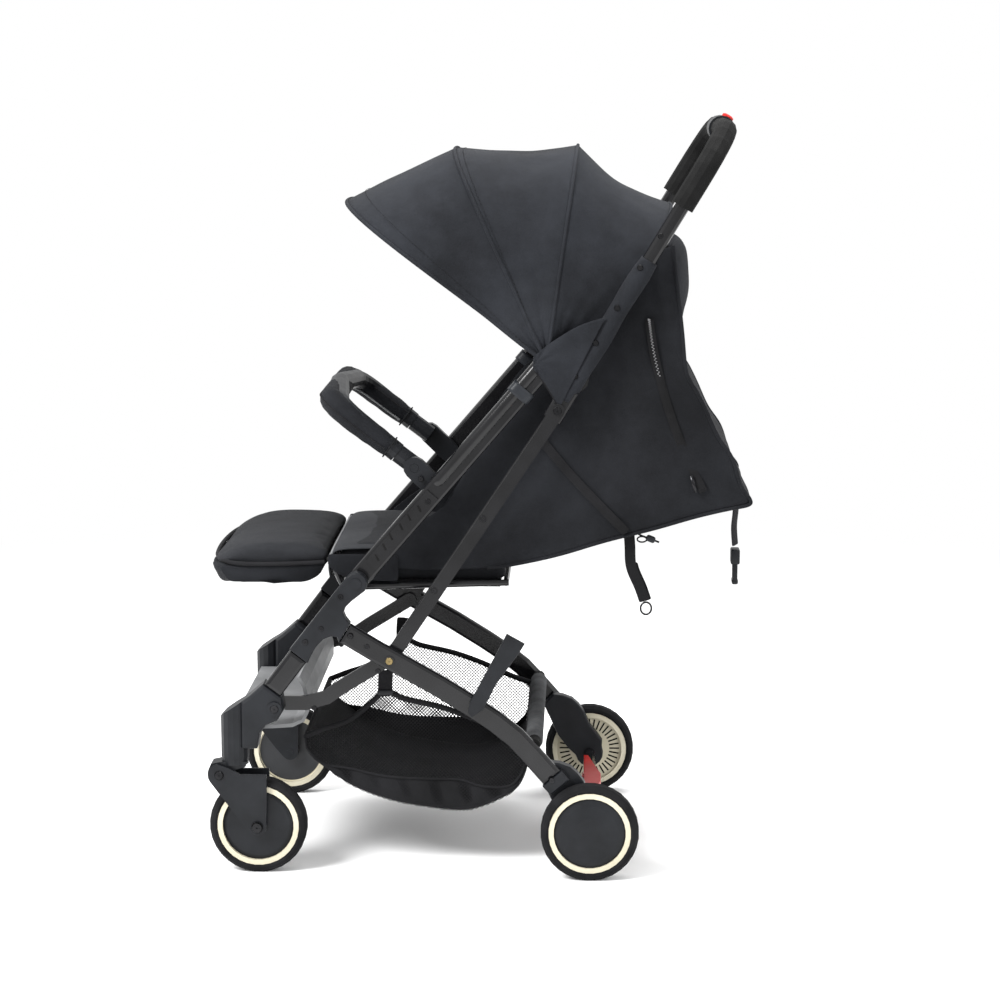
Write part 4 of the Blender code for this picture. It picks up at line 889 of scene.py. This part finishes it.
def body_straps():
    """Straps, buckle, ring and toggle on the seat body."""
    for label, side in SIDES:
        y = side * (SHELL_HALF_WIDTH + 0.0065)
        line = curve_points(
            [side_point((0.087, 0.605), y), side_point((0.125, 0.56), y + side * 0.0012),
             side_point((0.165, 0.517), y), side_point((0.205, 0.476), y - side * 0.002)], 20
        )
        hang(strap(f"body_side_strap_{label}", line, (0.7, 0, 0.7), 0.013, 0.0016, "webbing"))
    y = D_RING_Y
    drop = side_curve(D_RING_STRAP, 22, y)
    hang(strap("d_ring_strap", drop, (1, 0, 0.2), 0.015, 0.002, "webbing"))
    fold = [p + Vector((0.003, 0.003, 0.0)) for p in drop[10:]]
    hang(strap("d_ring_strap_fold", fold, (1, 0, 0.2), 0.014, 0.0018, "webbing"))
    hang(ring("d_ring", (0.233, y, 0.366), 0.0075, 0.0014, "dark_steel", stretch=1.15))
    cord = curve_points(
        [side_point((0.212, 0.478), y), side_point((0.224, 0.47), y - 0.004),
         side_point((0.236, 0.466), y - 0.006), side_point((0.25, 0.46), y - 0.004)], 14
    )
    hang(tube("draw_cord", cord, 0.0013, "webbing"))
    hang(ring("draw_cord_loop", (0.2265, y - 0.004, 0.464), 0.0065, 0.0011, "webbing", stretch=0.6))
    hang(block("draw_cord_toggle", (0.2385, y - 0.006, 0.465), (0.013, 0.008, 0.009), "plastic", 0.003, 0.4))
    hang(strap("rear_strap", side_curve(REAR_STRAP, 18), (0.45, 0.9, 0), 0.02, 0.0022, "webbing"))
    hang(block("rear_buckle", (0.364, 0.0, 0.413), (0.013, 0.024, 0.022), "plastic", 0.0025))
    for k, y in enumerate((-0.0085, 0.0, 0.0085)):
        hang(block(f"rear_buckle_prong_{k}", (0.364, y, 0.39), (0.007, 0.0036, 0.03), "plastic", 0.0015))
    hang(block("rear_buckle_end", (0.364, 0.0, 0.3765), (0.009, 0.021, 0.008), "plastic", 0.0025))
    back_flap()


def back_flap():
    """The cloth flap behind the top of the seat body, with its hem."""
    flap = []
    for k, spine in enumerate(side_curve(FLAP_SPINE, FLAP_STEPS)):
        half = 0.128 - 0.02 * max(0.0, k / FLAP_STEPS - 0.7) / 0.3
        row = []
        for c in range(25):
            across = -1 + c / 12
            wave = ripple((spine.x, across * 0.2, spine.z), 16.0, 0.004, 5.0)
            row.append(Vector((spine.x + wave - 0.024 * abs(across) ** 5, across * half, spine.z)))
        flap.append(row)
    cover = sheet("body_back_flap", flap, "canopy", 0.0018)
    hang(cover)
    hem = [row[0] for row in flap] + flap[-1][1:-1] + [row[-1] for row in reversed(flap)]
    hang(tube("body_back_flap_hem", hem, 0.0017, "webbing"))


def zip_teeth(name, line, side):
    """Two interlocking rows of small teeth along the part of a zip that its cover leaves open."""
    work = bmesh.new()
    for k, point in enumerate(curve_points(line, ZIP_TEETH)[:ZIP_SHOWN]):
        offset = 0.0008 if k % 2 else -0.0008
        add_box(work, (0.002, 0.001, 0.001), point + Vector((offset, side * 0.0009, 0)))
    return from_work(work, name, "steel", smooth=False)


def fold_away(piece):
    """Gives a piece of seat cloth its own copy of its mesh."""
    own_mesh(piece)


# Padded pieces


PAD_ROUNDING = 0.014
PAD_DRAW_IN = 0.14
PAD_STEPS = 40


def pad_form(name, outline, half_width, look, rows=25, front=None):
    """A closed padded form: a side-view outline carried across the width, rounded at both ends.

    Where `front` is given, what lies before that x is drawn back towards it near the two ends.
    """
    outline = side_curve(outline + outline[:1], PAD_STEPS)[:-1]
    centre = Vector((sum(p.x for p in outline) / len(outline), 0, sum(p.z for p in outline) / len(outline)))
    made = []
    for k in range(rows):
        across = math.sin(math.pi / 2 * (-1 + 2 * k / (rows - 1)))
        y = across * half_width
        edge = max(0.0, (abs(y) - (half_width - PAD_ROUNDING)) / PAD_ROUNDING)
        draw = 1 - PAD_DRAW_IN * edge ** 3
        row = []
        for point in outline:
            spot = point - centre
            spot.z *= draw
            spot.x *= 1 - 0.02 * edge ** 3
            place = centre + spot + Vector((0, y, 0))
            if front is not None and place.x < front:
                place.x = front + (place.x - front) * (1 - 0.24 * abs(across) ** 9)
            row.append(place)
        made.append(row)
    return closed_form(name, made, look)


SEAT_PAD = (
    (-0.1975, 0.406), (-0.2, 0.425), (-0.195, 0.441), (-0.18, 0.4475), (-0.11, 0.449),
    (-0.05, 0.4485), (0.01, 0.4475), (0.032, 0.443), (0.038, 0.425), (0.036, 0.405),
    (-0.05, 0.404), (-0.13, 0.404),
)
LEG_REST = (
    (-0.211, 0.43), (-0.21, 0.442), (-0.228, 0.4485), (-0.265, 0.4505), (-0.31, 0.4495),
    (-0.34, 0.4448), (-0.36, 0.4378), (-0.3745, 0.43), (-0.374, 0.4255), (-0.35, 0.424),
    (-0.3, 0.4225), (-0.25, 0.4245),
)
SKIRT = (
    (-0.212, 0.429), (-0.25, 0.425), (-0.35, 0.4245), (-0.373, 0.425), (-0.377, 0.419), (-0.372, 0.412),
    (-0.366, 0.404), (-0.358, 0.3998), (-0.34, 0.399), (-0.27, 0.3996), (-0.24, 0.401), (-0.227, 0.408),
    (-0.216, 0.418),
)
# near half of the leg rest's piping, as (x, y, z)
LEG_REST_EDGE = (
    (-0.213, -0.1565, 0.43), (-0.26, -0.157, 0.427), (-0.31, -0.157, 0.4262),
    (-0.338, -0.1555, 0.427), (-0.35, -0.15, 0.4285), (-0.359, -0.138, 0.4292),
    (-0.368, -0.115, 0.429), (-0.374, -0.07, 0.4285), (-0.3765, 0.0000, 0.4285),
)
LEG_REST_FRONT = -0.3
SEAT_BAND = (
    (-0.205, 0.41), (-0.207, 0.428), (-0.202, 0.444), (-0.188, 0.4508), (-0.14, 0.4525), (-0.085, 0.4505),
)
# the cloth beside the seat, as x and how far its lower edge lies below CHEEK_TOP
CHEEK = (
    (-0.207, 0.012), (-0.2, 0.024), (-0.185, 0.031), (-0.165, 0.034), (-0.145, 0.037), (-0.125, 0.037),
    (-0.11, 0.037),
)
CHEEK_LOW = 0.406
CHEEK_TOP = 0.443
CHEEK_STEPS = 8


def ruffle(obj, scale, strength, seed=0.0):
    """Moves every point of a mesh a little along its normal."""
    for vert in obj.data.vertices:
        vert.co += vert.normal * ripple(vert.co, scale, strength, seed)
    return obj


def seat_pads():
    """Seat cushion with its front band, the leg rest with its skirt, and the padded back."""
    pad = inflate(pad_form("seat_cushion", SEAT_PAD, 0.153, "seat"), 0.005)
    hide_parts("seat_pad")
    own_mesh(pad)
    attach(pad, "chassis")
    line = side_curve(SEAT_BAND, 15)
    front = []
    for k in range(25):
        across = -1 + k / 12
        front.append([Vector((p.x, across * 0.1555, p.z - 0.003 * abs(across) ** 8)) for p in line])
    band = sheet("seat_front_band", front, "grey_seat", 0.0022)
    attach(band, "chassis")
    edge = [row[6] + Vector((-0.0012, 0, 0.0004)) for row in front]
    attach(tube("seat_front_piping", edge, 0.0016, "piping"), "chassis")
    rest = inflate(pad_form("leg_rest_pad", LEG_REST, 0.1535, "seat", front=LEG_REST_FRONT), 0.004)
    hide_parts("leg_rest")
    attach(rest, "leg_rest")
    skirt = pad_form("leg_rest_skirt", SKIRT, 0.155, "body", rows=61, front=LEG_REST_FRONT)
    ruffle(skirt, 42.0, 0.0042, 2.0)
    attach(skirt, "leg_rest")
    back = backrest_pad()
    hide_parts("backrest")
    fold_away(back)
    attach(back, "backrest")
    full = list(LEG_REST_EDGE) + [(x, -y, z) for x, y, z in reversed(LEG_REST_EDGE[:-1])]
    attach(tube("leg_rest_piping", full, 0.003, "webbing"), "leg_rest")
    seam = [(x + 0.0005, y * 1.004, z - 0.0065) for x, y, z in full]
    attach(stitches("leg_rest_stitches", curve_points(seam, 160)), "leg_rest")
    for label, side in SIDES:
        cheek = []
        for k in range(CHEEK_STEPS + 1):
            z = CHEEK_LOW + (CHEEK_TOP - CHEEK_LOW) * k / CHEEK_STEPS
            y = side * (0.1672 + 0.001 * math.sin(math.pi * k / CHEEK_STEPS))
            cheek.append([Vector((x, y, max(z, CHEEK_TOP - lift))) for x, lift in CHEEK])
        side_cloth = sheet(f"seat_side_cloth_{label}", cheek, "body", 0.0016)
        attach(side_cloth, "chassis")


BACKREST_PIVOT = Vector((0.056, 0, 0.44))
BACKREST_ANGLE = 70.0
BACKREST_LENGTH = 0.4
BACKREST_MARGIN = 0.006
BACKREST_HALF_WIDTH = 0.158
BACKREST_STEPS = 40


def backrest_pad():
    """The padded back, a little hollow along its middle, with its sewn channels."""
    lean = math.radians(BACKREST_ANGLE)
    up = Vector((math.cos(lean), 0, math.sin(lean)))
    out = Vector((-up.z, 0, up.x))
    rows = []
    for k in range(BACKREST_STEPS + 1):
        along = BACKREST_MARGIN + 0.388 * k / BACKREST_STEPS
        end = min(along, BACKREST_LENGTH - along)
        channel = 0.0022 * math.exp(-((along % 0.1 - 0.05) / 0.004) ** 2)
        front = []
        back = []
        for c in range(33):
            across = -1 + c / 16
            spot = BACKREST_PIVOT + up * along
            aside = Vector((0, across * BACKREST_HALF_WIDTH, 0))
            puff = 0.0095 * (1 - abs(across) ** 6) * min(1.0, end / 0.012) ** 0.5
            front.append(spot + out * (puff - channel) + aside)
            back.append(spot - out * 0.008 * (1 - abs(across) ** 8) + aside)
        rows.append(front + back[31:0:-1])
    return closed_form("backrest_pad", rows, "body")


# Belly bar

BELLY_SOCKET = (-0.086, 0.566)
BELLY_ANGLE = 143.0
BELLY_FRONT = (-0.2, 0.66)
BELLY_HALF_WIDTH = 0.1623
BELLY_CORNER = 0.04
BELLY_RADIUS = 0.014
BELLY_COVER = BELLY_RADIUS + 0.0022
BELLY_COVER_FROM = 0.044
BELLY_SOCKET_FACE = 0.1856
# seams of the cover: name, how far across the arms, how far inwards, look and radius
BELLY_SEAMS = (
    ("belly_bar_piping", 0.008, 0.0135, "piping", 0.0016),
    ("belly_bar_seam", -0.008, 0.0135, "webbing", 0.0012),
    ("belly_bar_outer_seam", 0.004, -0.0158, "webbing", 0.001),
)


def belly_line(start, offset=0.0, cross=0.0):
    """Points along the belly bar, drawn in by `offset`, and moved across the arms by `cross`."""
    length = math.hypot(BELLY_FRONT[0] - BELLY_SOCKET[0], BELLY_FRONT[1] - BELLY_SOCKET[1]) - offset
    half = BELLY_HALF_WIDTH - offset
    radius = BELLY_CORNER - offset * 0.6
    flat = [(start + (length - radius - start) * k / 10, -half) for k in range(10)]
    flat += [
        (length - radius + radius * math.sin(turn), -half + radius - radius * math.cos(turn))
        for turn in (math.radians(90 * k / 10) for k in range(11))
    ]
    flat += [(length, -(half - radius) * (1 - k / 8)) for k in range(1, 9)]
    flat += [(along, -y) for along, y in reversed(flat[:-1])]
    return [side_point(step_from(BELLY_SOCKET, BELLY_ANGLE, along, cross), y) for along, y in flat]


def belly_bar():
    """The cloth cover of the belly bar with its seams, cuffs and piping, and the screws of its sockets."""
    wear(frame["nodes"]["belly_bar"], "plastic")
    line = belly_line(BELLY_COVER_FROM)
    swell = [1.0 - 0.16 * math.exp(-min(k, len(line) - 1 - k) / 1.2) for k in range(len(line))]
    cover = ruffle(tube("belly_bar_cover", line, BELLY_COVER, "body", sides=6, radii=swell), 60.0, 0.0011)
    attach(cover, "belly_bar")
    for name, cross, offset, look, radius in BELLY_SEAMS:
        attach(tube(name, belly_line(0.048, offset, cross), radius, look), "belly_bar")
    for label, side in SIDES:
        tie = ring(f"belly_bar_cuff_{label}_0", (0, 0, 0), BELLY_COVER, 0.001, "webbing", "X")
        turn = Matrix.Rotation(-math.radians(BELLY_ANGLE), 4, "Y")
        turn.translation = side_point(step_from(BELLY_SOCKET, BELLY_ANGLE, 0.0435), side * BELLY_HALF_WIDTH)
        tie.data.transform(turn)
        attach(tie, "belly_bar")
        for mark, along, cross in (("a", -0.016, 0.006), ("b", -0.03, -0.006)):
            place = side_point(step_from(BELLY_SOCKET, BELLY_ANGLE, along, cross), side * BELLY_SOCKET_FACE)
            screw = stud(f"belly_socket_screw_{label}_{mark}", place, side, 0.004, 0.0012, slot=True)
            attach(screw, "main_frame")


# Basket

BASKET_LOW = (
    (-0.24, 0.185), (-0.2385, 0.166), (-0.225, 0.149), (-0.1795, 0.1155), (-0.1263, 0.094), (-0.0674, 0.083),
    (-0.0141, 0.0795), (0.0308, 0.096), (0.056, 0.114), (0.068, 0.145), (0.069, 0.18),
)
BASKET_TOP = (
    (-0.24, 0.186), (-0.2137, 0.1965), (-0.1786, 0.2095), (-0.148, 0.2345), (-0.128, 0.2505), (-0.1016, 0.24),
    (-0.0528, 0.229), (-0.0096, 0.214), (0.0378, 0.193), (0.069, 0.182),
)
BASKET_SEAM = (
    (-0.24, 0.17), (-0.226, 0.152), (-0.21, 0.144), (-0.1795, 0.14), (-0.129, 0.129), (-0.07, 0.126),
    (-0.025, 0.125), (0.005, 0.116), (0.042, 0.116), (0.06, 0.133), (0.0688, 0.16),
)
BASKET_HALF_WIDTH = 0.172
BASKET_STEPS = 56
BASKET_STRAP = ((-0.128, 0.244), (-0.1285, 0.262), (-0.127, 0.282))
BASKET_STRAP_Y = 0.1765
BASKET_ENDS = ((-0.24, 0.185), (0.069, 0.181))


def height_at(line, x):
    """The height of a side-view line at x, on its first stretch that reaches it."""
    for (xa, za), (xb, zb) in zip(line, line[1:]):
        if xa <= x <= xb and xb > xa:
            return za + (zb - za) * (x - xa) / (xb - xa)
    return line[0][1] if x < line[0][0] else line[-1][1]


def basket():
    """Net side walls under a bound rim, over a cloth tray with creased sides."""
    rows = []
    for point in side_curve(BASKET_LOW, BASKET_STEPS):
        row = []
        for c in range(33):
            across = -1 + c / 16
            y = across * (BASKET_HALF_WIDTH - 0.001)
            lift = 0.01 * abs(across) ** 5
            dip = ripple((point.x, y, point.z), 16.0, 0.006, 2.0) * (1 - abs(across) ** 4)
            row.append(Vector((point.x, y, point.z + lift * 0.6 + dip * 0.5)))
        rows.append(row)
    floor = sheet("basket_floor", rows, "webbing", 0.0014)
    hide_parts("basket")
    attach(floor, "chassis")
    for label, side in SIDES:
        basket_side(label, side)
    for k, place in enumerate(BASKET_ENDS):
        line = [side_point(place, -BASKET_HALF_WIDTH + 2 * BASKET_HALF_WIDTH * c / 12) for c in range(13)]
        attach(tube(f"basket_cross_rim_{k}", line, 0.0038, "webbing"), "chassis")
    crossbar_foam()


def basket_side(label, side):
    """One side of the basket: net, rim, the cloth below its seam, and the strap that holds the rim up."""
    bottom, top, seam = (
        [(p.x, p.z) for p in side_curve(line, BASKET_STEPS)] for line in (BASKET_LOW, BASKET_TOP, BASKET_SEAM)
    )
    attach(net_wall(f"basket_net_{label}", side, bottom, top), "chassis")
    rim = [side_point(place, side * BASKET_HALF_WIDTH) for place in top]
    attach(tube(f"basket_rim_{label}", rim, 0.004, "webbing"), "chassis")
    cloth = []
    for k in range(7):
        share = k / 6
        row = []
        for x, z in seam:
            floor_z = max(height_at(bottom, x), 0.078) if x < 0.068 else 0.15
            base = min(floor_z + 0.003, z - 0.001)
            out = 0.0022 * math.sin(x * 150 + share * 2) * math.sin(math.pi * share) + 0.0014
            row.append(Vector((x, side * (BASKET_HALF_WIDTH - 0.0015 + out), base + (z - base) * share)))
        cloth.append(row)
    wall = sheet(f"basket_side_cloth_{label}", cloth, "webbing", 0.0012)
    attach(wall, "chassis")
    line = [side_point(place, side * (BASKET_HALF_WIDTH + 0.0012)) for place in seam]
    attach(tube(f"basket_seam_{label}", line, 0.0018, "webbing"), "chassis")
    bend = [Vector((x, side * (BASKET_HALF_WIDTH - 0.001), z + 0.004)) for x, z in bottom]
    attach(tube(f"basket_edge_{label}", bend, 0.0024, "webbing"), "chassis")
    y = side * BASKET_STRAP_Y
    loop = side_curve(BASKET_STRAP, 8, y)
    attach(strap(f"basket_strap_{label}", loop, (1, 0, 0), 0.02, 0.0022, "webbing"), "chassis")
    clip = block(f"basket_clip_{label}", (-0.128, y, 0.25), (0.022, 0.007, 0.008), "plastic", 0.002)
    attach(clip, "chassis")


FOAM_CENTRE = (0.079, 0.184)
FOAM_STEPS = 150
NET_CORNER = (-0.24, 0.076)
NET_FLOOR = 0.0765
NET_CELL = 0.005
NET_COLUMNS = 125
NET_LINES = 72


def crossbar_foam():
    """The ribbed foam round the rear crossbar."""
    rows = []
    for k in range(FOAM_STEPS + 1):
        y = -0.183 + 0.366 * k / FOAM_STEPS
        rib = 0.0009 * math.sin(k * math.pi / 2.0)
        radius = 0.0112 + rib if 0 < k < FOAM_STEPS else 0.0098
        rows.append([
            Vector((FOAM_CENTRE[0] + radius * math.cos(turn), y, FOAM_CENTRE[1] + radius * math.sin(turn)))
            for turn in (math.radians(20 * c) for c in range(18))
        ])
    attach(closed_form("crossbar_foam", rows, "rib_foam"), "chassis")


def net_wall(name, side, bottom, top):
    """A net wall: threads round lozenges, between the basket's lower line and its rim."""
    points = []
    index = {}
    faces = []

    def node_place(column, line):
        return NET_CORNER[0] + column * NET_CELL / 2, NET_CORNER[1] + line * NET_CELL / 2

    def corner(column, line):
        key = (column, line)
        if key not in index:
            x, z = node_place(column, line)
            low_z = max(height_at(bottom, x), NET_FLOOR)
            high_z = height_at(top, x)
            share = min(1.0, max(0.0, (z - low_z) / max(high_z - low_z, 0.001)))
            y = side * (BASKET_HALF_WIDTH - 0.0012 + 0.0025 * math.sin(math.pi * share))
            index[key] = len(points)
            points.append((min(x, 0.069), y + ripple((x, 0, z), 20.0, 0.0015), min(max(z, low_z), high_z)))
        return index[key]

    for column in range(1, NET_COLUMNS):
        for line in range(1, NET_LINES):
            x, z = node_place(column, line)
            outside = x > 0.068 or not max(height_at(bottom, x), NET_FLOOR) < z < height_at(top, x)
            if (column + line) % 2 or outside:
                continue
            around = ((column - 1, line), (column, line - 1), (column + 1, line), (column, line + 1))
            faces.append(tuple(corner(*key) for key in around))
    mesh = bpy.data.meshes.new(name)
    mesh.from_pydata(points, [], faces)
    obj = collect(mesh, name, "webbing", smooth=False)
    threads = obj.modifiers.new("threads", "WIREFRAME")
    threads.thickness = 0.0015
    threads.use_even_offset = False
    return plain(obj)


# Small hard pieces

BODY_OF = {
    node: body for body, nodes in frame["record"]["behaviour"]["bodies"].items() for node in nodes
}
# name, place in side view, distance from the middle plane where no surface is met, radius, node, look
SCREWS = (
    ("swing_pin", (-0.356, 0.141), 0.2245, 0.0065, "fork", "dark_steel"),
    ("caster_bolt", (-0.278, 0.236), 0.2262, 0.0062, "caster_housing", "dark_steel"),
    ("leg_screw", (-0.234, 0.331), 0.2252, 0.0042, "y_bracket", "dark_steel"),
    ("bracket_screw_a", (-0.185, 0.394), 0.2252, 0.0042, "y_bracket", "dark_steel"),
    ("bracket_screw_b", (-0.172, 0.34), 0.2252, 0.0042, "y_bracket", "dark_steel"),
    ("bracket_screw_c", (-0.212, 0.35), 0.2252, 0.0036, "y_bracket", "dark_steel"),
    ("rear_leg_screw", (-0.15, 0.325), 0.225, 0.0042, "rear_leg", "dark_steel"),
    ("rear_leg_brass", (-0.119, 0.305), 0.2252, 0.0056, "rear_leg", "brass"),
    ("strut_screw_a", (0.009, 0.501), 0.2112, 0.0046, "strut", "dark_steel"),
    ("strut_screw_b", (-0.0581, 0.4008), 0.2112, 0.0046, "strut", "dark_steel"),
    ("strut_pin", (0.11, 0.649), 0.2118, 0.0062, "strut", "dark_steel"),
    ("tube_screw", (-0.066, 0.524), 0.207, 0.004, "main_tube", "dark_steel"),
    ("housing_screw_a", (0.104, 0.139), 0.2246, 0.004, "rear_housing", "dark_steel"),
    ("brace_screw_a", (-0.136, 0.286), 0.203, 0.004, "brace", "dark_steel"),
    ("brace_screw_b", (-0.225, 0.233), 0.203, 0.004, "brace", "dark_steel"),
    ("handle_screw", (0.247, 0.884), 0.2026, 0.004, "handle_tube", "dark_steel"),
)
NOTCHES = (
    (-0.078, 0.514), (-0.092, 0.502), (-0.103, 0.489), (-0.117, 0.475), (-0.126, 0.461), (-0.136, 0.446),
)
NOTCH_SIZE = (0.01, 0.0012, 0.0028)
NOTCH_TURN = -math.radians(MAIN_ANGLE + 90 - 22)
UPPER_TUBE = (0.172, 0.176, 0.18, 0.388)
COLLAR_SPAN = (0.336, 0.352)
STRUT_FOOT = (-0.119, 0.305)
OUTSIDE = 0.32
HUB_INSIDE = 0.15
HUB_SLOTS = 36
HUB_SLOT_RADIUS = 0.0385


def surface_y(node, place, start, toward, fallback):
    """How far from the middle plane a line across the part, from `start` onwards, first meets a node."""
    shown = frame["nodes"][node]
    inverse = shown.matrix_world.inverted()
    along = (inverse.to_3x3() @ Vector((0, toward, 0))).normalized()
    hit, spot, _, _ = shown.ray_cast(inverse @ side_point(place, start), along)
    return abs((shown.matrix_world @ spot).y) if hit else fallback


def fasteners():
    """Screws, notches of the toothed guides, the tubes' rounded edges and collars, and painted shade in the
    hubs' slots.
    """
    for label, side in SIDES:
        for name, place, depth, radius, node, look in SCREWS:
            carrier = node if node in frame["nodes"] else f"{node}_{label}"
            face = surface_y(carrier, place, side * OUTSIDE, -side, depth)
            spot = side_point(place, side * (face + 0.0004))
            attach(stud(f"{name}_{label}", spot, side, radius, 0.0016, look, True), BODY_OF[carrier])
        fork = f"fork_{label}"
        face = surface_y(fork, FRONT_AXLE, side * OUTSIDE, -side, 0.2245)
        place = side_point(FRONT_AXLE, side * (face + 0.001))
        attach(stud(f"axle_bolt_{label}", place, side, 0.008, 0.003, "dark_steel", True), BODY_OF[fork])
        for k, place in enumerate(NOTCHES):
            face = surface_y(f"main_tube_{label}", place, side * OUTSIDE, -side, 0.2062)
            centre = side_point(place, side * face)
            notch = block(f"guide_notch_{label}_{k}", centre, NOTCH_SIZE, "foam", 0.0005, NOTCH_TURN)
            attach(notch, "main_frame")
        upper = [
            side_point(step_from(FRAME_PIVOT, MAIN_ANGLE, along, 0.0055), side * 0.196)
            for along in UPPER_TUBE
        ]
        rounded = tube(
            f"main_tube_round_{label}", upper, 0.0098, "tube", smooth=False, sides=8, radii=(0.7, 0.9, 1, 1)
        )
        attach(rounded, "main_frame")
        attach(closed_form(f"main_tube_collar_{label}", collar_rows(side), "slate"), "main_frame")
        lean = math.degrees(math.atan2(LINK_PIVOT[1] - STRUT_FOOT[1], LINK_PIVOT[0] - STRUT_FOOT[0]))
        length = math.hypot(LINK_PIVOT[0] - STRUT_FOOT[0], LINK_PIVOT[1] - STRUT_FOOT[1])
        ends = (0.045, length - 0.025)
        line = [side_point(step_from(STRUT_FOOT, lean, along, 0.0088), side * 0.2078) for along in ends]
        edge = tube(f"strut_edge_{label}", line, 0.0013, "tube", smooth=False, sides=4)
        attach(edge, BODY_OF[f"strut_{label}"])
        hub_slot_shade(label, side)


def collar_rows(side):
    """Rings of points of the clamp round a main tube."""
    first, last = (
        side_point(step_from(FRAME_PIVOT, MAIN_ANGLE, along, 0.0), side * 0.194) for along in COLLAR_SPAN
    )
    rows = []
    for k in range(5):
        centre = first.lerp(last, k / 4)
        row = []
        for c in range(28):
            turn = math.radians(360 * c / 28)
            wide = math.copysign(abs(math.cos(turn)) ** 0.6, math.cos(turn)) * 0.0172
            deep = math.copysign(abs(math.sin(turn)) ** 0.6, math.sin(turn)) * 0.013
            row.append(side_point(step_from((centre.x, centre.z), MAIN_ANGLE, 0.0, wide), centre.y + deep))
        rows.append(row)
    return rows


def hub_slot_shade(label, side):
    """Dark boxes round the inner side of a rear wheel's hub: painted shade where its slots are."""
    work = bmesh.new()
    rim = f"rear_rim_{label}"
    for k in range(HUB_SLOTS):
        turn = math.radians(360 / HUB_SLOTS * k)
        x = REAR_AXLE[0] + HUB_SLOT_RADIUS * math.cos(turn)
        place = (x, REAR_AXLE[1] + HUB_SLOT_RADIUS * math.sin(turn))
        face = surface_y(rim, place, side * HUB_INSIDE, side, 0.2145)
        # a thin dark box at the hub's face for each slot: painted shade standing in for the slot's depth
        add_box(work, (0.015, 0.001, 0.0022), side_point(place, side * face), -turn)
    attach(from_work(work, f"hub_slot_shade_{label}", "foam", smooth=False), BODY_OF[rim])


# Stage and camera

CAMERA_PLACE = (0.1459, -3.6911, 1.1013)
CAMERA_TURN = (80.64, 0.0, 1.87)
CAMERA_LENS = 93.6
FLOOR_REACH = 14.0
FLOOR_FADE = (0.9, 2.6)


def lamp(name, energy, size, place, aim):
    """A square light at a place, turned to its aim."""
    data = bpy.data.lights.new(name, "AREA")
    data.energy = energy
    data.shape = "SQUARE"
    data.size = size
    obj = bpy.data.objects.new(name, data)
    obj.location = place
    obj.rotation_euler = (Vector(aim) - Vector(place)).to_track_quat("-Z", "Y").to_euler()
    bpy.context.scene.collection.objects.link(obj)


def stage():
    """A pale floor that fades into the white round it, three lights and the camera."""
    mesh = bpy.data.meshes.new("floor")
    size = FLOOR_REACH
    corners = [(-size, -size, 0), (size, -size, 0), (size, size, 0), (-size, size, 0)]
    mesh.from_pydata(corners, [], [(0, 1, 2, 3)])
    floor = bpy.data.objects.new("floor", mesh)
    bpy.context.scene.collection.objects.link(floor)
    white = bpy.data.materials.new("pale_floor")
    white.use_nodes = True
    tree = white.node_tree
    shader = tree.nodes["Principled BSDF"]
    shader.inputs["Base Color"].default_value = (0.93, 0.93, 0.93, 1)
    shader.inputs["Roughness"].default_value = 0.8
    shader.inputs["Specular IOR Level"].default_value = 0.1
    glow = tree.nodes.new("ShaderNodeEmission")
    glow.inputs["Color"].default_value = (1, 1, 1, 1)
    far = tree.nodes.new("ShaderNodeVectorMath")
    far.operation = "LENGTH"
    tree.links.new(tree.nodes.new("ShaderNodeTexCoord").outputs["Object"], far.inputs[0])
    fade = tree.nodes.new("ShaderNodeMapRange")
    fade.inputs["From Min"].default_value = FLOOR_FADE[0]
    fade.inputs["From Max"].default_value = FLOOR_FADE[1]
    fade.interpolation_type = "SMOOTHSTEP"
    tree.links.new(far.outputs["Value"], fade.inputs["Value"])
    blend = tree.nodes.new("ShaderNodeMixShader")
    tree.links.new(fade.outputs["Result"], blend.inputs["Fac"])
    tree.links.new(shader.outputs["BSDF"], blend.inputs[1])
    tree.links.new(glow.outputs["Emission"], blend.inputs[2])
    tree.links.new(blend.outputs["Shader"], tree.nodes["Material Output"].inputs["Surface"])
    mesh.materials.append(white)
    world = bpy.data.worlds.new("studio")
    world.use_nodes = True
    sky = world.node_tree.nodes["Background"]
    sky.inputs["Color"].default_value = (1, 1, 1, 1)
    sky.inputs["Strength"].default_value = 1.0
    bpy.context.scene.world = world
    lamp("key_light", 210, 1.3, (-2.3, -2.0, 3.0), (0, 0, 0.5))
    lamp("fill_light", 30, 2.0, (2.6, -2.2, 1.8), (0, 0, 0.5))
    lamp("top_light", 90, 1.5, (0.6, 0.3, 3.3), (0, 0, 0.6))
    lens = bpy.data.cameras.new("camera")
    lens.lens = CAMERA_LENS
    lens.sensor_width = 36.0
    camera = bpy.data.objects.new("camera", lens)
    camera.location = CAMERA_PLACE
    camera.rotation_euler = tuple(math.radians(angle) for angle in CAMERA_TURN)
    bpy.context.scene.collection.objects.link(camera)
    bpy.context.scene.camera = camera
    bpy.context.scene.view_settings.view_transform = "Standard"


stage()
dress_nodes()
canopy()
seat_body()
seat_pads()
belly_bar()
basket()
fasteners()
